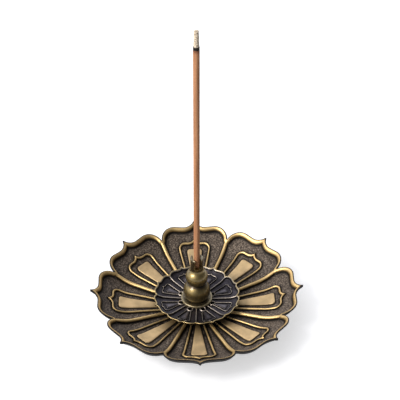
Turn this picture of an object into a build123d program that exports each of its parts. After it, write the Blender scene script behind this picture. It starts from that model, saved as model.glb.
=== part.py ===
from build123d import *
from math import cos, radians, sin
import os

os.makedirs("parts", exist_ok=True)

# Lotus pattern shared by both dishes
PETALS = 8
PETAL_ANGLE = 360.0 / PETALS

# Outer dish: plan of one petal
OUTER_TIP_RADIUS = 50.0
OUTER_POINT_LENGTH_SHARE = 0.072
OUTER_POINT_HALF_SHARE = 0.11
OUTER_FLAT_SHARE = 0.082
OUTER_NOTCH_DEPTH_SHARE = 0.152
OUTER_RIM_WIDTH = 1.9
OUTER_STEP_WIDTH = 1.3
OUTER_RIDGE_INNER_WIDTH = 1.7
OUTER_RIDGE_OUTER_WIDTH = 2.2

# Outer dish: section
OUTER_GROUND_GAP = 2.1
OUTER_HUB_RADIUS = 12.0
OUTER_BEND_RADIUS = 35.0
OUTER_BEND_RISE = 2.7
OUTER_BEND_FILLET = 20.0
OUTER_TIP_RISE = 10.3
OUTER_HUB_WALL = 1.8
OUTER_BEND_WALL = 1.2
OUTER_RIM_WALL = 0.7
OUTER_BEAD_HEIGHT = 1.7
OUTER_STEP_HEIGHT = 1.2

# Outer dish: raised line and polished tongue in each petal
OUTER_RIB_INSET = 7.8
OUTER_RIB_POINT_LENGTH = 2.2
OUTER_RIB_POINT_HALF = 3.2
OUTER_RIB_FLAT = 1.4
OUTER_RIB_SHOULDER_LENGTH = 3.4
OUTER_RIB_SHOULDER_WIDTH = 3.2
OUTER_RIB_INNER_HALF = 3.1
OUTER_RIB_WIDTH = 1.1
OUTER_RIB_HEIGHT = 0.9
OUTER_TONGUE_GAP = 3.1
OUTER_TONGUE_OUTER_HALF = 3.9
OUTER_TONGUE_INNER_HALF = 0.8
OUTER_TONGUE_CORNER = 1.4
OUTER_TONGUE_HEIGHT = 0.7

# Outer dish: foot ring and well for the screw head
FOOT_OUTER_RADIUS = 23.0
FOOT_WIDTH = 2.5
WELL_CLEARANCE = 0.6
WELL_DEPTH = 1.4

# Inner dish: plan of one petal and how far it is turned against the outer petals
INNER_TURN = 19.5
INNER_TIP_RADIUS = 21.0
INNER_POINT_LENGTH_SHARE = 0.06
INNER_POINT_HALF_SHARE = 0.09
INNER_FLAT_SHARE = 0.1
INNER_NOTCH_DEPTH_SHARE = 0.095
INNER_RIM_WIDTH = 0.8
INNER_RIDGE_INNER_WIDTH = 0.6
INNER_RIDGE_OUTER_WIDTH = 0.9

# Inner dish: section
BOSS_RADIUS = 9.0
BOSS_HEIGHT = 1.2
INNER_HUB_MARGIN = 0.4
INNER_BEND_RADIUS = 16.0
INNER_BEND_RISE = 0.6
INNER_BEND_FILLET = 6.0
INNER_TIP_RISE = 2.8
INNER_HUB_WALL = 1.4
INNER_BEND_WALL = 0.9
INNER_RIM_WALL = 0.5
INNER_BEAD_HEIGHT = 0.8

# Inner dish: raised line, inner leaf and ring at each petal's base
INNER_RIB_INSET = 2.9
INNER_RIB_POINT_LENGTH = 1.0
INNER_RIB_POINT_HALF = 1.3
INNER_RIB_FLAT = 0.7
INNER_RIB_SHOULDER_LENGTH = 1.5
INNER_RIB_SHOULDER_WIDTH = 1.4
INNER_RIB_INNER_HALF = 1.2
INNER_RIB_WIDTH = 0.45
INNER_RIB_HEIGHT = 0.5
INNER_TONGUE_GAP = 1.7
INNER_TONGUE_OUTER_HALF = 1.7
INNER_TONGUE_INNER_HALF = 0.4
INNER_TONGUE_CORNER = 0.7
INNER_TONGUE_HEIGHT = 0.35
LOOP_OUTSTAND = 0.5
LOOP_RADIUS = 1.6
LOOP_WIDTH = 0.6
LOOP_DROP = 0.1

# Gourd holder
FLANGE_RADIUS = 7.4
FLANGE_THICKNESS = 1.0
FLANGE_EDGE = 0.3
LOWER_BULB_RADIUS = 6.33
LOWER_BULB_RISE = 5.0
UPPER_BULB_RADIUS = 5.19
BULB_SPACING = 8.4
CREASE_FILLET = 0.3
NECK_RADIUS = 3.0
NECK_RISE = 6.4
NECK_FILLET = 3.0
MOUTH_LIP = 0.5
FUNNEL_DEPTH = 2.0
SLOT_DEPTH = 5.0
SLOT_CLEARANCE = 0.1
SLOT_TURN = 14.0
BORE_DEPTH = 14.0

# Incense stick, burnt at its top end
STICK_RADIUS = 1.4
STICK_LENGTH = 124.9
STICK_CLEARANCE = 0.08
CHAR_HEIGHT = 1.3
ASH_HEIGHT = 7.4
ASH_BASE_RADIUS = 1.3
ASH_TOP_RADIUS = 1.05
ASH_TIP_FILLET = 0.5

# Fixing screw, its thread as a plain shank
SCREW_RADIUS = 1.95
THREAD_CLEARANCE = 0.05
SCREW_ENGAGEMENT = 7.0
HOLE_CLEARANCE = 0.3
TAPPED_RUNOUT = 1.0
HEAD_RADIUS = 3.8
HEAD_HEIGHT = 2.4
HEAD_FILLET = 0.8
RECESS_LENGTH = 4.0
RECESS_WIDTH = 0.9
RECESS_DEPTH = 1.3
SCREW_TIP_CHAMFER = 0.5

# Levels that follow from the stack of pieces
OUTER_HUB_FLOOR = OUTER_GROUND_GAP + OUTER_HUB_WALL
OUTER_HUB_TOP = OUTER_HUB_FLOOR + OUTER_BEAD_HEIGHT
WELL_ROOF = OUTER_GROUND_GAP + WELL_DEPTH
INNER_HUB_FLOOR = OUTER_HUB_TOP + BOSS_HEIGHT + INNER_HUB_WALL
SEAT = INNER_HUB_FLOOR + INNER_BEAD_HEIGHT
LOWER_BULB_LEVEL = SEAT + LOWER_BULB_RISE
UPPER_BULB_LEVEL = LOWER_BULB_LEVEL + BULB_SPACING
NECK_TOP = UPPER_BULB_LEVEL + UPPER_BULB_RADIUS + NECK_RISE
STICK_FOOT = NECK_TOP - BORE_DEPTH
CHAR_BASE = STICK_FOOT + STICK_LENGTH
ASH_BASE = CHAR_BASE + CHAR_HEIGHT
HOLE_RADIUS = SCREW_RADIUS + HOLE_CLEARANCE
SCREW_TOP = SEAT + SCREW_ENGAGEMENT


def polar(reach, degrees):
    """Plan point at a radius and an angle."""
    return Vector(reach * cos(radians(degrees)), reach * sin(radians(degrees)))


def both_sides(edges):
    """A half outline together with its mirror image across the petal's centre line."""
    return edges + [mirror(edge, about=Plane.XZ) for edge in edges]


def petal_edges(tip, point_length_share, point_half_share, flat_share, notch_depth_share):
    """Petal edge from notch to notch: round shoulder, short flat end, hollow curve into a sharp tip."""
    flat_in = Vector(tip - tip * point_length_share, tip * point_half_share)
    flat_out = flat_in + Vector(0, tip * flat_share)
    half = [
        TangentArc(flat_in, Vector(tip, 0), tangent=(0, -1)),
        Line(flat_in, flat_out),
        TangentArc(flat_out, polar(tip - tip * notch_depth_share, PETAL_ANGLE / 2), tangent=(0, 1)),
    ]
    return both_sides(half)


def lotus_outline(edges):
    """Closed plan of a dish, its petals set round the axis."""
    return make_face([Rot(0, 0, PETAL_ANGLE * k) * edge for k in range(PETALS) for edge in edges])


def petal_wedge(start, end, start_ridge, end_ridge):
    """Sector of one petal between the ridges that part it from its neighbours."""
    inward = polar(1, PETAL_ANGLE / 2 - 90)
    near = polar(start, PETAL_ANGLE / 2) + inward * (start_ridge / 2)
    far = polar(end, PETAL_ANGLE / 2) + inward * (end_ridge / 2)
    return make_face(Polyline(near, far, (far.X, -far.Y), (near.X, -near.Y), close=True))


def rib_face(tip, point_length, point_half, flat, shoulder_length, shoulder_width, start, start_half):
    """Pointed leaf shape that the raised line of a petal follows."""
    flat_in = Vector(tip - point_length, point_half)
    flat_out = flat_in + Vector(0, flat)
    side = flat_out + Vector(-shoulder_length, shoulder_width)
    half = [
        TangentArc(flat_in, Vector(tip, 0), tangent=(0, -1)),
        Line(flat_in, flat_out),
        TangentArc(flat_out, side, tangent=(0, 1)),
        Line(side, Vector(start, start_half)),
    ]
    return make_face(both_sides(half) + [Line((start, start_half), (start, -start_half))])


def tongue_face(start, start_half, reach, end_half, corner):
    """Tapered strip along the middle of a petal, with rounded outer corners."""
    ends = [(start, -start_half), (reach, -end_half), (reach, end_half), (start, start_half)]
    strip = make_face(Polyline(*ends, close=True))
    return fillet(strip.vertices().sort_by(Axis.X)[-2:], corner)


def floor_line(hub, hub_floor, bend, bend_floor, bend_fillet, tip, tip_floor):
    """Floor of a dish in section: flat hub, gentle slope, then the turned-up rim, run past the tip."""
    slope = (tip_floor - bend_floor) / (tip - bend)
    end = tip + (tip - bend) / 2
    points = [(hub, hub_floor), (bend, bend_floor), (end, bend_floor + slope * (end - bend))]
    return [Line((0, hub_floor), (hub, hub_floor))] + FilletPolyline(*points, radius=bend_fillet).edges()


def lifted(line, height):
    """A section line moved along the axis."""
    return [Pos(0, height) * edge for edge in line]


def layer(low, high):
    """Solid of revolution between two section lines."""
    sides = [Line(low[0] @ 0, high[0] @ 0), Line(low[-1] @ 1, high[-1] @ 1)]
    return revolve(Plane.XZ * make_face(low + high + sides), Axis.Z)


def around(shape):
    """The same shape in every petal."""
    return [Rot(0, 0, PETAL_ANGLE * k) * shape for k in range(PETALS)]


def raised(face, low, high):
    """A plan shape filled between two section lines, in every petal."""
    column = extrude(face, (high[-1] @ 1).Y)
    return around(column & layer(low, high))


def outer_dish():
    """Large lotus dish with its foot ring and the hole and well for the screw."""
    bend_floor = OUTER_HUB_FLOOR + OUTER_BEND_RISE
    tip_floor = OUTER_HUB_FLOOR + OUTER_TIP_RISE
    floor = floor_line(
        OUTER_HUB_RADIUS, OUTER_HUB_FLOOR, OUTER_BEND_RADIUS, bend_floor,
        OUTER_BEND_FILLET, OUTER_TIP_RADIUS, tip_floor,
    )
    under = floor_line(
        OUTER_HUB_RADIUS, OUTER_GROUND_GAP, OUTER_BEND_RADIUS, bend_floor - OUTER_BEND_WALL,
        OUTER_BEND_FILLET, OUTER_TIP_RADIUS, tip_floor - OUTER_RIM_WALL,
    )
    crest = lifted(floor, OUTER_BEAD_HEIGHT)
    root = lifted(floor, -OUTER_RIM_WALL / 2)
    ground = [Line((0, 0), ((root[-1] @ 1).X, 0))]
    outline = lotus_outline(petal_edges(
        OUTER_TIP_RADIUS, OUTER_POINT_LENGTH_SHARE, OUTER_POINT_HALF_SHARE, OUTER_FLAT_SHARE,
        OUTER_NOTCH_DEPTH_SHARE,
    ))
    wedge = petal_wedge(
        OUTER_HUB_RADIUS, OUTER_TIP_RADIUS, OUTER_RIDGE_INNER_WIDTH, OUTER_RIDGE_OUTER_WIDTH,
    )
    panel = wedge & offset(outline, -OUTER_RIM_WIDTH)
    rib_tip = OUTER_TIP_RADIUS - OUTER_RIB_INSET
    rib = rib_face(
        rib_tip, OUTER_RIB_POINT_LENGTH, OUTER_RIB_POINT_HALF, OUTER_RIB_FLAT,
        OUTER_RIB_SHOULDER_LENGTH, OUTER_RIB_SHOULDER_WIDTH, OUTER_HUB_RADIUS, OUTER_RIB_INNER_HALF,
    )
    band = rib - offset(rib, -OUTER_RIB_WIDTH)
    tongue = tongue_face(
        OUTER_HUB_RADIUS, OUTER_TONGUE_INNER_HALF, rib_tip - OUTER_RIB_POINT_LENGTH - OUTER_TONGUE_GAP,
        OUTER_TONGUE_OUTER_HALF, OUTER_TONGUE_CORNER,
    )
    dish = extrude(outline, (crest[-1] @ 1).Y) & layer(under, crest)
    dish -= raised(panel, floor, lifted(crest, OUTER_BEAD_HEIGHT))
    edge = outline - offset(outline, -OUTER_STEP_WIDTH)
    step = layer(lifted(under, -OUTER_RIM_WALL), lifted(under, OUTER_STEP_HEIGHT))
    dish -= extrude(edge, (crest[-1] @ 1).Y) & step
    dish += raised(band, root, lifted(floor, OUTER_RIB_HEIGHT))
    dish += raised(tongue, root, lifted(floor, OUTER_TONGUE_HEIGHT))
    foot = Circle(FOOT_OUTER_RADIUS) - Circle(FOOT_OUTER_RADIUS - FOOT_WIDTH)
    dish += extrude(foot, (root[-1] @ 1).Y) & layer(ground, root)
    dish -= extrude(Circle(HEAD_RADIUS + WELL_CLEARANCE), WELL_ROOF)
    return dish - extrude(Circle(HOLE_RADIUS), OUTER_HUB_TOP)


def inner_dish():
    """Small lotus dish on a boss, turned against the outer petals."""
    hub = FLANGE_RADIUS + INNER_HUB_MARGIN
    bend_floor = INNER_HUB_FLOOR + INNER_BEND_RISE
    tip_floor = INNER_HUB_FLOOR + INNER_TIP_RISE
    floor = floor_line(
        hub, INNER_HUB_FLOOR, INNER_BEND_RADIUS, bend_floor,
        INNER_BEND_FILLET, INNER_TIP_RADIUS, tip_floor,
    )
    under = floor_line(
        hub, INNER_HUB_FLOOR - INNER_HUB_WALL, INNER_BEND_RADIUS, bend_floor - INNER_BEND_WALL,
        INNER_BEND_FILLET, INNER_TIP_RADIUS, tip_floor - INNER_RIM_WALL,
    )
    crest = lifted(floor, INNER_BEAD_HEIGHT)
    root = lifted(floor, -INNER_RIM_WALL / 2)
    outline = lotus_outline(petal_edges(
        INNER_TIP_RADIUS, INNER_POINT_LENGTH_SHARE, INNER_POINT_HALF_SHARE, INNER_FLAT_SHARE,
        INNER_NOTCH_DEPTH_SHARE,
    ))
    loop_centre = FLANGE_RADIUS + LOOP_OUTSTAND
    wedge = petal_wedge(
        loop_centre - LOOP_RADIUS, INNER_TIP_RADIUS, INNER_RIDGE_INNER_WIDTH, INNER_RIDGE_OUTER_WIDTH,
    )
    panel = wedge & offset(outline, -INNER_RIM_WIDTH)
    leaf_start = loop_centre + LOOP_RADIUS - LOOP_WIDTH
    rib_tip = INNER_TIP_RADIUS - INNER_RIB_INSET
    rib = rib_face(
        rib_tip, INNER_RIB_POINT_LENGTH, INNER_RIB_POINT_HALF, INNER_RIB_FLAT,
        INNER_RIB_SHOULDER_LENGTH, INNER_RIB_SHOULDER_WIDTH, leaf_start, INNER_RIB_INNER_HALF,
    )
    band = rib - offset(rib, -INNER_RIB_WIDTH)
    tongue = tongue_face(
        leaf_start, INNER_TONGUE_INNER_HALF, rib_tip - INNER_RIB_POINT_LENGTH - INNER_TONGUE_GAP,
        INNER_TONGUE_OUTER_HALF, INNER_TONGUE_CORNER,
    )
    loop = Pos(loop_centre, 0) * (Circle(LOOP_RADIUS) - Circle(LOOP_RADIUS - LOOP_WIDTH))
    dish = extrude(outline, (crest[-1] @ 1).Y) & layer(under, crest)
    dish -= raised(panel, floor, lifted(crest, INNER_BEAD_HEIGHT))
    dish += raised(band, root, lifted(floor, INNER_RIB_HEIGHT))
    dish += raised(tongue, root, lifted(floor, INNER_TONGUE_HEIGHT))
    dish += raised(loop, root, lifted(floor, INNER_BEAD_HEIGHT - LOOP_DROP))
    dish += Pos(0, 0, OUTER_HUB_TOP) * extrude(Circle(BOSS_RADIUS), INNER_HUB_FLOOR - OUTER_HUB_TOP)
    dish -= extrude(Circle(HOLE_RADIUS), SEAT)
    return Rot(0, 0, INNER_TURN) * dish


def gourd_holder():
    """Turned gourd on a round flange, its neck sawn into two prongs for the stick, tapped from below."""
    body = Pos(0, 0, LOWER_BULB_LEVEL) * Sphere(LOWER_BULB_RADIUS)
    body += Pos(0, 0, UPPER_BULB_LEVEL) * Sphere(UPPER_BULB_RADIUS)
    body += Pos(0, 0, UPPER_BULB_LEVEL) * extrude(Circle(NECK_RADIUS), NECK_TOP - UPPER_BULB_LEVEL)
    rings = body.edges().filter_by(GeomType.CIRCLE)
    crease = [ring for ring in rings if LOWER_BULB_LEVEL < ring.center().Z < UPPER_BULB_LEVEL]
    body = fillet(crease, CREASE_FILLET)
    rings = body.edges().filter_by(GeomType.CIRCLE)
    collar = [ring for ring in rings if UPPER_BULB_LEVEL < ring.center().Z < NECK_TOP]
    body = fillet(collar, NECK_FILLET)
    body -= extrude(Circle(FLANGE_RADIUS), SEAT)
    flange = Pos(0, 0, SEAT) * extrude(Circle(FLANGE_RADIUS), FLANGE_THICKNESS)
    body += fillet(flange.edges().sort_by(Axis.Z)[-1:], FLANGE_EDGE)
    bore = STICK_RADIUS + STICK_CLEARANCE
    body -= Pos(0, 0, STICK_FOOT) * extrude(Circle(bore), BORE_DEPTH)
    body -= Pos(0, 0, NECK_TOP - FUNNEL_DEPTH / 2) * Cone(bore, NECK_RADIUS - MOUTH_LIP, FUNNEL_DEPTH)
    saw_cut = Rectangle(2 * (STICK_RADIUS + SLOT_CLEARANCE), 2 * (NECK_RADIUS + NECK_FILLET))
    body -= Pos(0, 0, NECK_TOP - SLOT_DEPTH) * Rot(0, 0, SLOT_TURN) * extrude(saw_cut, SLOT_DEPTH)
    tapped = SCREW_ENGAGEMENT + TAPPED_RUNOUT
    return body - Pos(0, 0, SEAT) * extrude(Circle(SCREW_RADIUS + THREAD_CLEARANCE), tapped)


def fixing_screw():
    """Cross-recess screw that clamps both dishes under the gourd."""
    shank = Pos(0, 0, WELL_ROOF) * extrude(Circle(SCREW_RADIUS), SCREW_TOP - WELL_ROOF)
    shank = chamfer(shank.edges().sort_by(Axis.Z)[-1:], SCREW_TIP_CHAMFER)
    head = Pos(0, 0, WELL_ROOF - HEAD_HEIGHT) * extrude(Circle(HEAD_RADIUS), HEAD_HEIGHT)
    head = fillet(head.edges().sort_by(Axis.Z)[:1], HEAD_FILLET)
    cross = Rectangle(RECESS_LENGTH, RECESS_WIDTH) + Rectangle(RECESS_WIDTH, RECESS_LENGTH)
    head -= Pos(0, 0, WELL_ROOF - HEAD_HEIGHT) * extrude(cross, RECESS_DEPTH)
    return head + shank


def incense_stick():
    """Unburnt part of the stick, standing on the bottom of the bore."""
    return Pos(0, 0, STICK_FOOT) * extrude(Circle(STICK_RADIUS), STICK_LENGTH)


def char_band():
    """Blackened band just below the ash."""
    return Pos(0, 0, CHAR_BASE) * extrude(Circle(STICK_RADIUS), CHAR_HEIGHT)


def ash_tip():
    """Slightly shrunken column of ash."""
    column = Pos(0, 0, ASH_BASE + ASH_HEIGHT / 2) * Cone(ASH_BASE_RADIUS, ASH_TOP_RADIUS, ASH_HEIGHT)
    return fillet(column.edges().sort_by(Axis.Z)[-1:], ASH_TIP_FILLET)


PIECES = {
    "outer_dish": outer_dish,
    "inner_dish": inner_dish,
    "gourd_holder": gourd_holder,
    "fixing_screw": fixing_screw,
    "incense_stick": incense_stick,
    "char_band": char_band,
    "ash_tip": ash_tip,
}

for name, make in PIECES.items():
    piece = make()
    piece.label = name
    export_step(piece, f"parts/{name}.step")
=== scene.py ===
import math
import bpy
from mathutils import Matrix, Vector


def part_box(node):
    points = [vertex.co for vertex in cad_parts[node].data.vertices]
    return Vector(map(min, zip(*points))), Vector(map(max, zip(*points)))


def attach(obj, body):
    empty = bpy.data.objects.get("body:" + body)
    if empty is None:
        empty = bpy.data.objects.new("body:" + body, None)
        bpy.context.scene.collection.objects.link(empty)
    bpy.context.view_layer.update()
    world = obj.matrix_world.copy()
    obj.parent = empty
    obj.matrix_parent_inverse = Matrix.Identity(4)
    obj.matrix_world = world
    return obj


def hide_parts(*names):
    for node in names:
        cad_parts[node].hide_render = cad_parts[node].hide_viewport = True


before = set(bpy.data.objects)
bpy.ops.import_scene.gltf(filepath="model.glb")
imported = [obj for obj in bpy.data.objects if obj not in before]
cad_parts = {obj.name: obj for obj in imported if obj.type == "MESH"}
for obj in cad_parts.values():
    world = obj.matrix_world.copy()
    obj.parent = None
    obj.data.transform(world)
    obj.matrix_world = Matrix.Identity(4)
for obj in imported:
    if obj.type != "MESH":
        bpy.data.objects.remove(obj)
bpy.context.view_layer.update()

from types import SimpleNamespace

import bmesh
import bpy
import numpy as np
from mathutils import Matrix, Vector, noise
from mathutils.geometry import delaunay_2d_cdt
from mathutils.kdtree import KDTree

bl_info = {
    "name": "Lotus incense holder",
    "version": (1, 0, 0),
    "blender": (4, 5, 0),
    "location": "View3D > Sidebar > Incense",
    "description": "Dresses the lotus dishes, gourd, stick and screw and sets a white studio round them",
    "category": "Object",
}

MM = 0.001
PETALS = 8
HALF_PETAL = math.pi / PETALS
DISH_MARKS = ("crest", "rim", "tongue", "reach", "top", "groove")

# Section of the rim bead and of the cove at its foot, as shares of the bead's width and height
RIM_CREST_SHARE = 0.4
RIM_LIP_HEIGHT = 0.8
RIM_LIP_RISE_AT_TIP = 0.2
RIM_SWELL_BESIDE_TIP = 0.24
COVE_HEIGHT = 0.2
COVE_WIDTH = 0.9

# Underside at the rim: width of its rise in rim widths, its drop at the tips and the share the wall thins by
UNDER_RISE_WIDTH = 0.8
UNDER_DROP_AT_TIP = 0.6
WALL_THINNING = 0.5

# Powers of the curves that round the beads; 2 is half an ellipse
RIM_INNER_POWER = 1.9
RIM_OUTER_POWER = 1.8
RIDGE_POWER = 2.4
LINE_POWER = 2.0

# Height of a tongue at its edge and the swell of its middle, as shares of its full height
TONGUE_EDGE_HEIGHT = 0.84
TONGUE_CROWN = 0.16

# Reach, fade and strength of wear, dirt and painted shade on the dishes
RIM_RUB_POWER = 1.4
RIM_BARE_REACH = 0.62
RIM_BARE_FADE = 0.2
RING_RUB = 1.6
LEAF_EDGE_PLACE = 0.6
LEAF_EDGE_RUB = 0.8
DIRT_AND_SHADE_WIDTH = 0.22

# Rows of points laid across the raised lines, as shares of each line's width
RIM_ROW_SHARES = (
    0.02, 0.06, 0.12, 0.19, 0.26, 0.33, 0.4, 0.5, 0.6, 0.7, 0.8, 0.88, 0.95, 1.0, 1.15, 1.4,
)
UNDER_ROW_SHARES = (0.2, 0.4, 0.6, 0.8)
RIDGE_ROW_SHARES = (0.3, 0.55, 0.75, 0.88, 0.96, 1.0, 1.15)
RIB_ROW_SHARES = (-0.1, 0.0, 0.04, 0.15, 0.32, 0.5, 0.68, 0.85, 0.96, 1.0, 1.1)
TONGUE_ROW_SHARES = (-0.4, 0.0, 0.06, 0.25, 0.55, 1.0)
RING_ROW_SHARES = (-1.0, -0.9, -0.6, 0.0, 0.6, 0.9, 1.0)

# Gaps between points of the dishes' meshes, in millimetres
BORDER_GAP = 0.04
UNDER_BORDER_GAP = 0.1
EDGE_GAP = 0.012
POINT_GAP = 0.03
ROW_DRIFT = 0.02

# Spacing of points as shares of a dish's own point spacing and field spacing
RIDGE_STEP = 1.3
MIDDLE_STEP = 0.6
HUB_STEP = 0.7
FILL_MARGIN = 0.3
FILL_GAP = 0.55
UNDER_FILL = 2
UNDER_FILL_GAP = 0.8
RING_POINTS = 40

# Samples along a border of half a petal, and distance between rows of the fill as a share of its spacing
CROSSING_SAMPLES = 4001
HONEYCOMB_ROW = 0.866

# Points closer than this are welded, in metres
PETAL_WELD = 2e-6
CLOSING_WELD = 1e-7

# Angles in degrees above which an edge is shaded sharp
CAST_SHARP = 42
TURNED_SHARP = 30
PRESSED_SHARP = 50

# Rounding of the gourd's lip and of its flange's lower edge, as shares of the lip and of the upper edge
LIP_ROUNDING = 0.3
FLANGE_FOOT_ROUNDING = 0.4

# Sides of the turned gourd, and a tolerance and the reach of tarnish on it in millimetres
GOURD_SEGMENTS = 96
TOUCH = 0.01
CREASE_TARNISH_WIDTH = 0.9

# Strength and fade of the painted shade on the gourd's neck, and strength of the bare metal on its flange
NECK_SHADE = 0.8
NECK_FADE = 0.4
FLANGE_BARE = 0.42

# Unevenness of the stick: lumps per millimetre, then fall-off, spread and octaves of the noise
LUMPS_PER_MM = 1.3
LUMP_NOISE = (0.8, 2.1, 4)

# Places of the lamps and the point they face, in metres, and the direction of the room's bright side
KEY_PLACE = (-0.67, -0.44, 0.6)
PAPER_LAMP_PLACE = (-0.6, -0.3, 0.74)
LAMP_AIM = (0.0, 0.0, 0.02)
BRIGHT_SIDE = (-0.5, 0.75, -0.25)

# Strength of the white that the paper adds for the eye and for reflections
PAPER_LIFT = 0.52


# Numbers and colours

def linear(code):
    """Linear colour of an sRGB hex value."""
    parts = [int(code[place:place + 2], 16) / 255 for place in (1, 3, 5)]
    return tuple(p / 12.92 if p <= 0.04045 else ((p + 0.055) / 1.055) ** 2.4 for p in parts) + (1.0,)


def per_metre(spacing_mm):
    """Texture scale that gives a pattern this spacing on Object coordinates."""
    return 1000.0 / spacing_mm


def length(name, description, mm):
    """A length setting whose default is given in millimetres."""
    return bpy.props.FloatProperty(
        name=name, description=description, default=mm * MM, unit="LENGTH", precision=5,
    )


def colour(name, description, code):
    """A colour setting whose default is an sRGB hex value."""
    return bpy.props.FloatVectorProperty(
        name=name, description=description, default=linear(code), size=4, min=0.0, max=1.0, subtype="COLOR",
    )


def in_mm(settings):
    """The lengths of a settings group in millimetres."""
    lengths = [p.identifier for p in settings.bl_rna.properties if getattr(p, "unit", "") == "LENGTH"]
    return SimpleNamespace(**{name: getattr(settings, name) / MM for name in lengths})


# Settings

class OuterDishSettings(bpy.types.PropertyGroup):
    """Sizes and colours of the large dish."""

    tip: length("Tip radius", "From the axis to a petal's tip", 50.0)
    point_length: length("Point length", "From a petal's flat end to its tip", 3.6)
    point_half: length("Point half width", "Half the width of the pointed part", 5.5)
    flat: length("Flat", "Short straight run beside the point", 4.1)
    notch_depth: length("Notch depth", "How far the notches lie inside the tips", 7.6)
    rim_width: length("Rim width", "Width of the bead along the edge", 1.9)
    ridge_inner: length("Ridge width at the hub", "Width of the bead between petals", 1.7)
    ridge_outer: length("Ridge width at the rim", "Width of the bead between petals", 2.2)
    bead: length("Bead height", "Height of the rim and ridges over the floor", 1.7)
    hub: length("Hub radius", "Where the petals start", 12.0)
    bend: length("Bend radius", "Where the floor turns up", 35.0)
    bend_fillet: length("Bend rounding", "Radius of the turn", 20.0)
    hub_floor: length("Hub floor", "Floor level at the hub", 3.9)
    bend_floor: length("Bend floor", "Floor level at the bend", 6.6)
    tip_floor: length("Tip floor", "Floor level at the tip", 14.2)
    hub_under: length("Hub underside", "Underside level at the hub", 2.1)
    bend_under: length("Bend underside", "Underside level at the bend", 5.4)
    tip_under: length("Tip underside", "Underside level at the tip", 13.5)
    rib_tip: length("Raised line reach", "From the axis to the raised line's tip", 42.2)
    rib_point_length: length("Raised line point", "Length of its pointed part", 2.2)
    rib_point_half: length("Raised line point half width", "Half width of its pointed part", 3.2)
    rib_flat: length("Raised line flat", "Straight run beside its point", 1.4)
    rib_shoulder_length: length("Raised line shoulder length", "Length of its round shoulder", 3.4)
    rib_shoulder_width: length("Raised line shoulder width", "Width of its round shoulder", 3.2)
    rib_start: length("Raised line start", "Radius where it starts", 12.0)
    rib_start_half: length("Raised line start half width", "Half width where it starts", 3.1)
    rib_width: length("Raised line width", "Thickness of the line", 1.1)
    rib_height: length("Raised line height", "Height over the floor", 0.9)
    tongue_start: length("Tongue start", "Radius where the polished tongue starts", 12.0)
    tongue_reach: length("Tongue reach", "Radius where it ends", 36.9)
    tongue_inner_half: length("Tongue inner half width", "Half width at its start", 0.8)
    tongue_outer_half: length("Tongue outer half width", "Half width at its end", 3.9)
    tongue_corner: length("Tongue corner", "Radius of its outer corners", 1.4)
    tongue_height: length("Tongue height", "Height over the floor", 0.7)
    tongue_edge: length("Tongue edge rounding", "Width of its worn edge", 0.3)
    tongue_fade: length("Tongue fade", "Width over which its polish fades in", 0.15)
    loop_centre: length("Ring place", "Radius of the ring at a petal's base, none here", 0.0)
    loop_radius: length("Ring radius", "None on this dish", 0.0)
    loop_width: length("Ring width", "None on this dish", 0.0)
    loop_height: length("Ring height", "None on this dish", 0.0)
    step: length("Point spacing", "Spacing of mesh points along the raised lines", 0.6)
    fill: length("Field spacing", "Spacing of mesh points between them", 0.95)
    foot_radius: length("Foot radius", "Outside of the foot ring", 23.0)
    foot_width: length("Foot width", "Width of the foot ring", 2.5)
    foot_edge: length("Foot edge", "Worn edge of the foot ring", 0.35)
    well_radius: length("Well radius", "Well round the screw head", 4.4)
    well_roof: length("Well roof", "Level of the face the screw head bears on", 3.5)
    hole_radius: length("Hole radius", "Hole for the screw", 2.25)
    # Painted shade with blackening beside the beads, on the outer wall and under the edge
    ground_black: colour("Ground, corners", "Blackening left beside the beads", "#0C0A09")
    ground_dark: colour("Ground, deep", "Oxidised brass between the grains of the ground", "#352E2A")
    ground_light: colour("Ground, grain tops", "Rubbed tops of the grains", "#94877A")
    # Also the painted shade on the tongues towards the hub
    brass_dull: colour("Beads, flanks", "Brass darkened on the flanks of the beads", "#6B5632")
    brass_worn: colour("Beads, crests", "Brass rubbed bright on the crests", "#E2C690")
    tongue_satin: colour("Tongues", "Satin brass of the tongues", "#DCC195")


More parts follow.
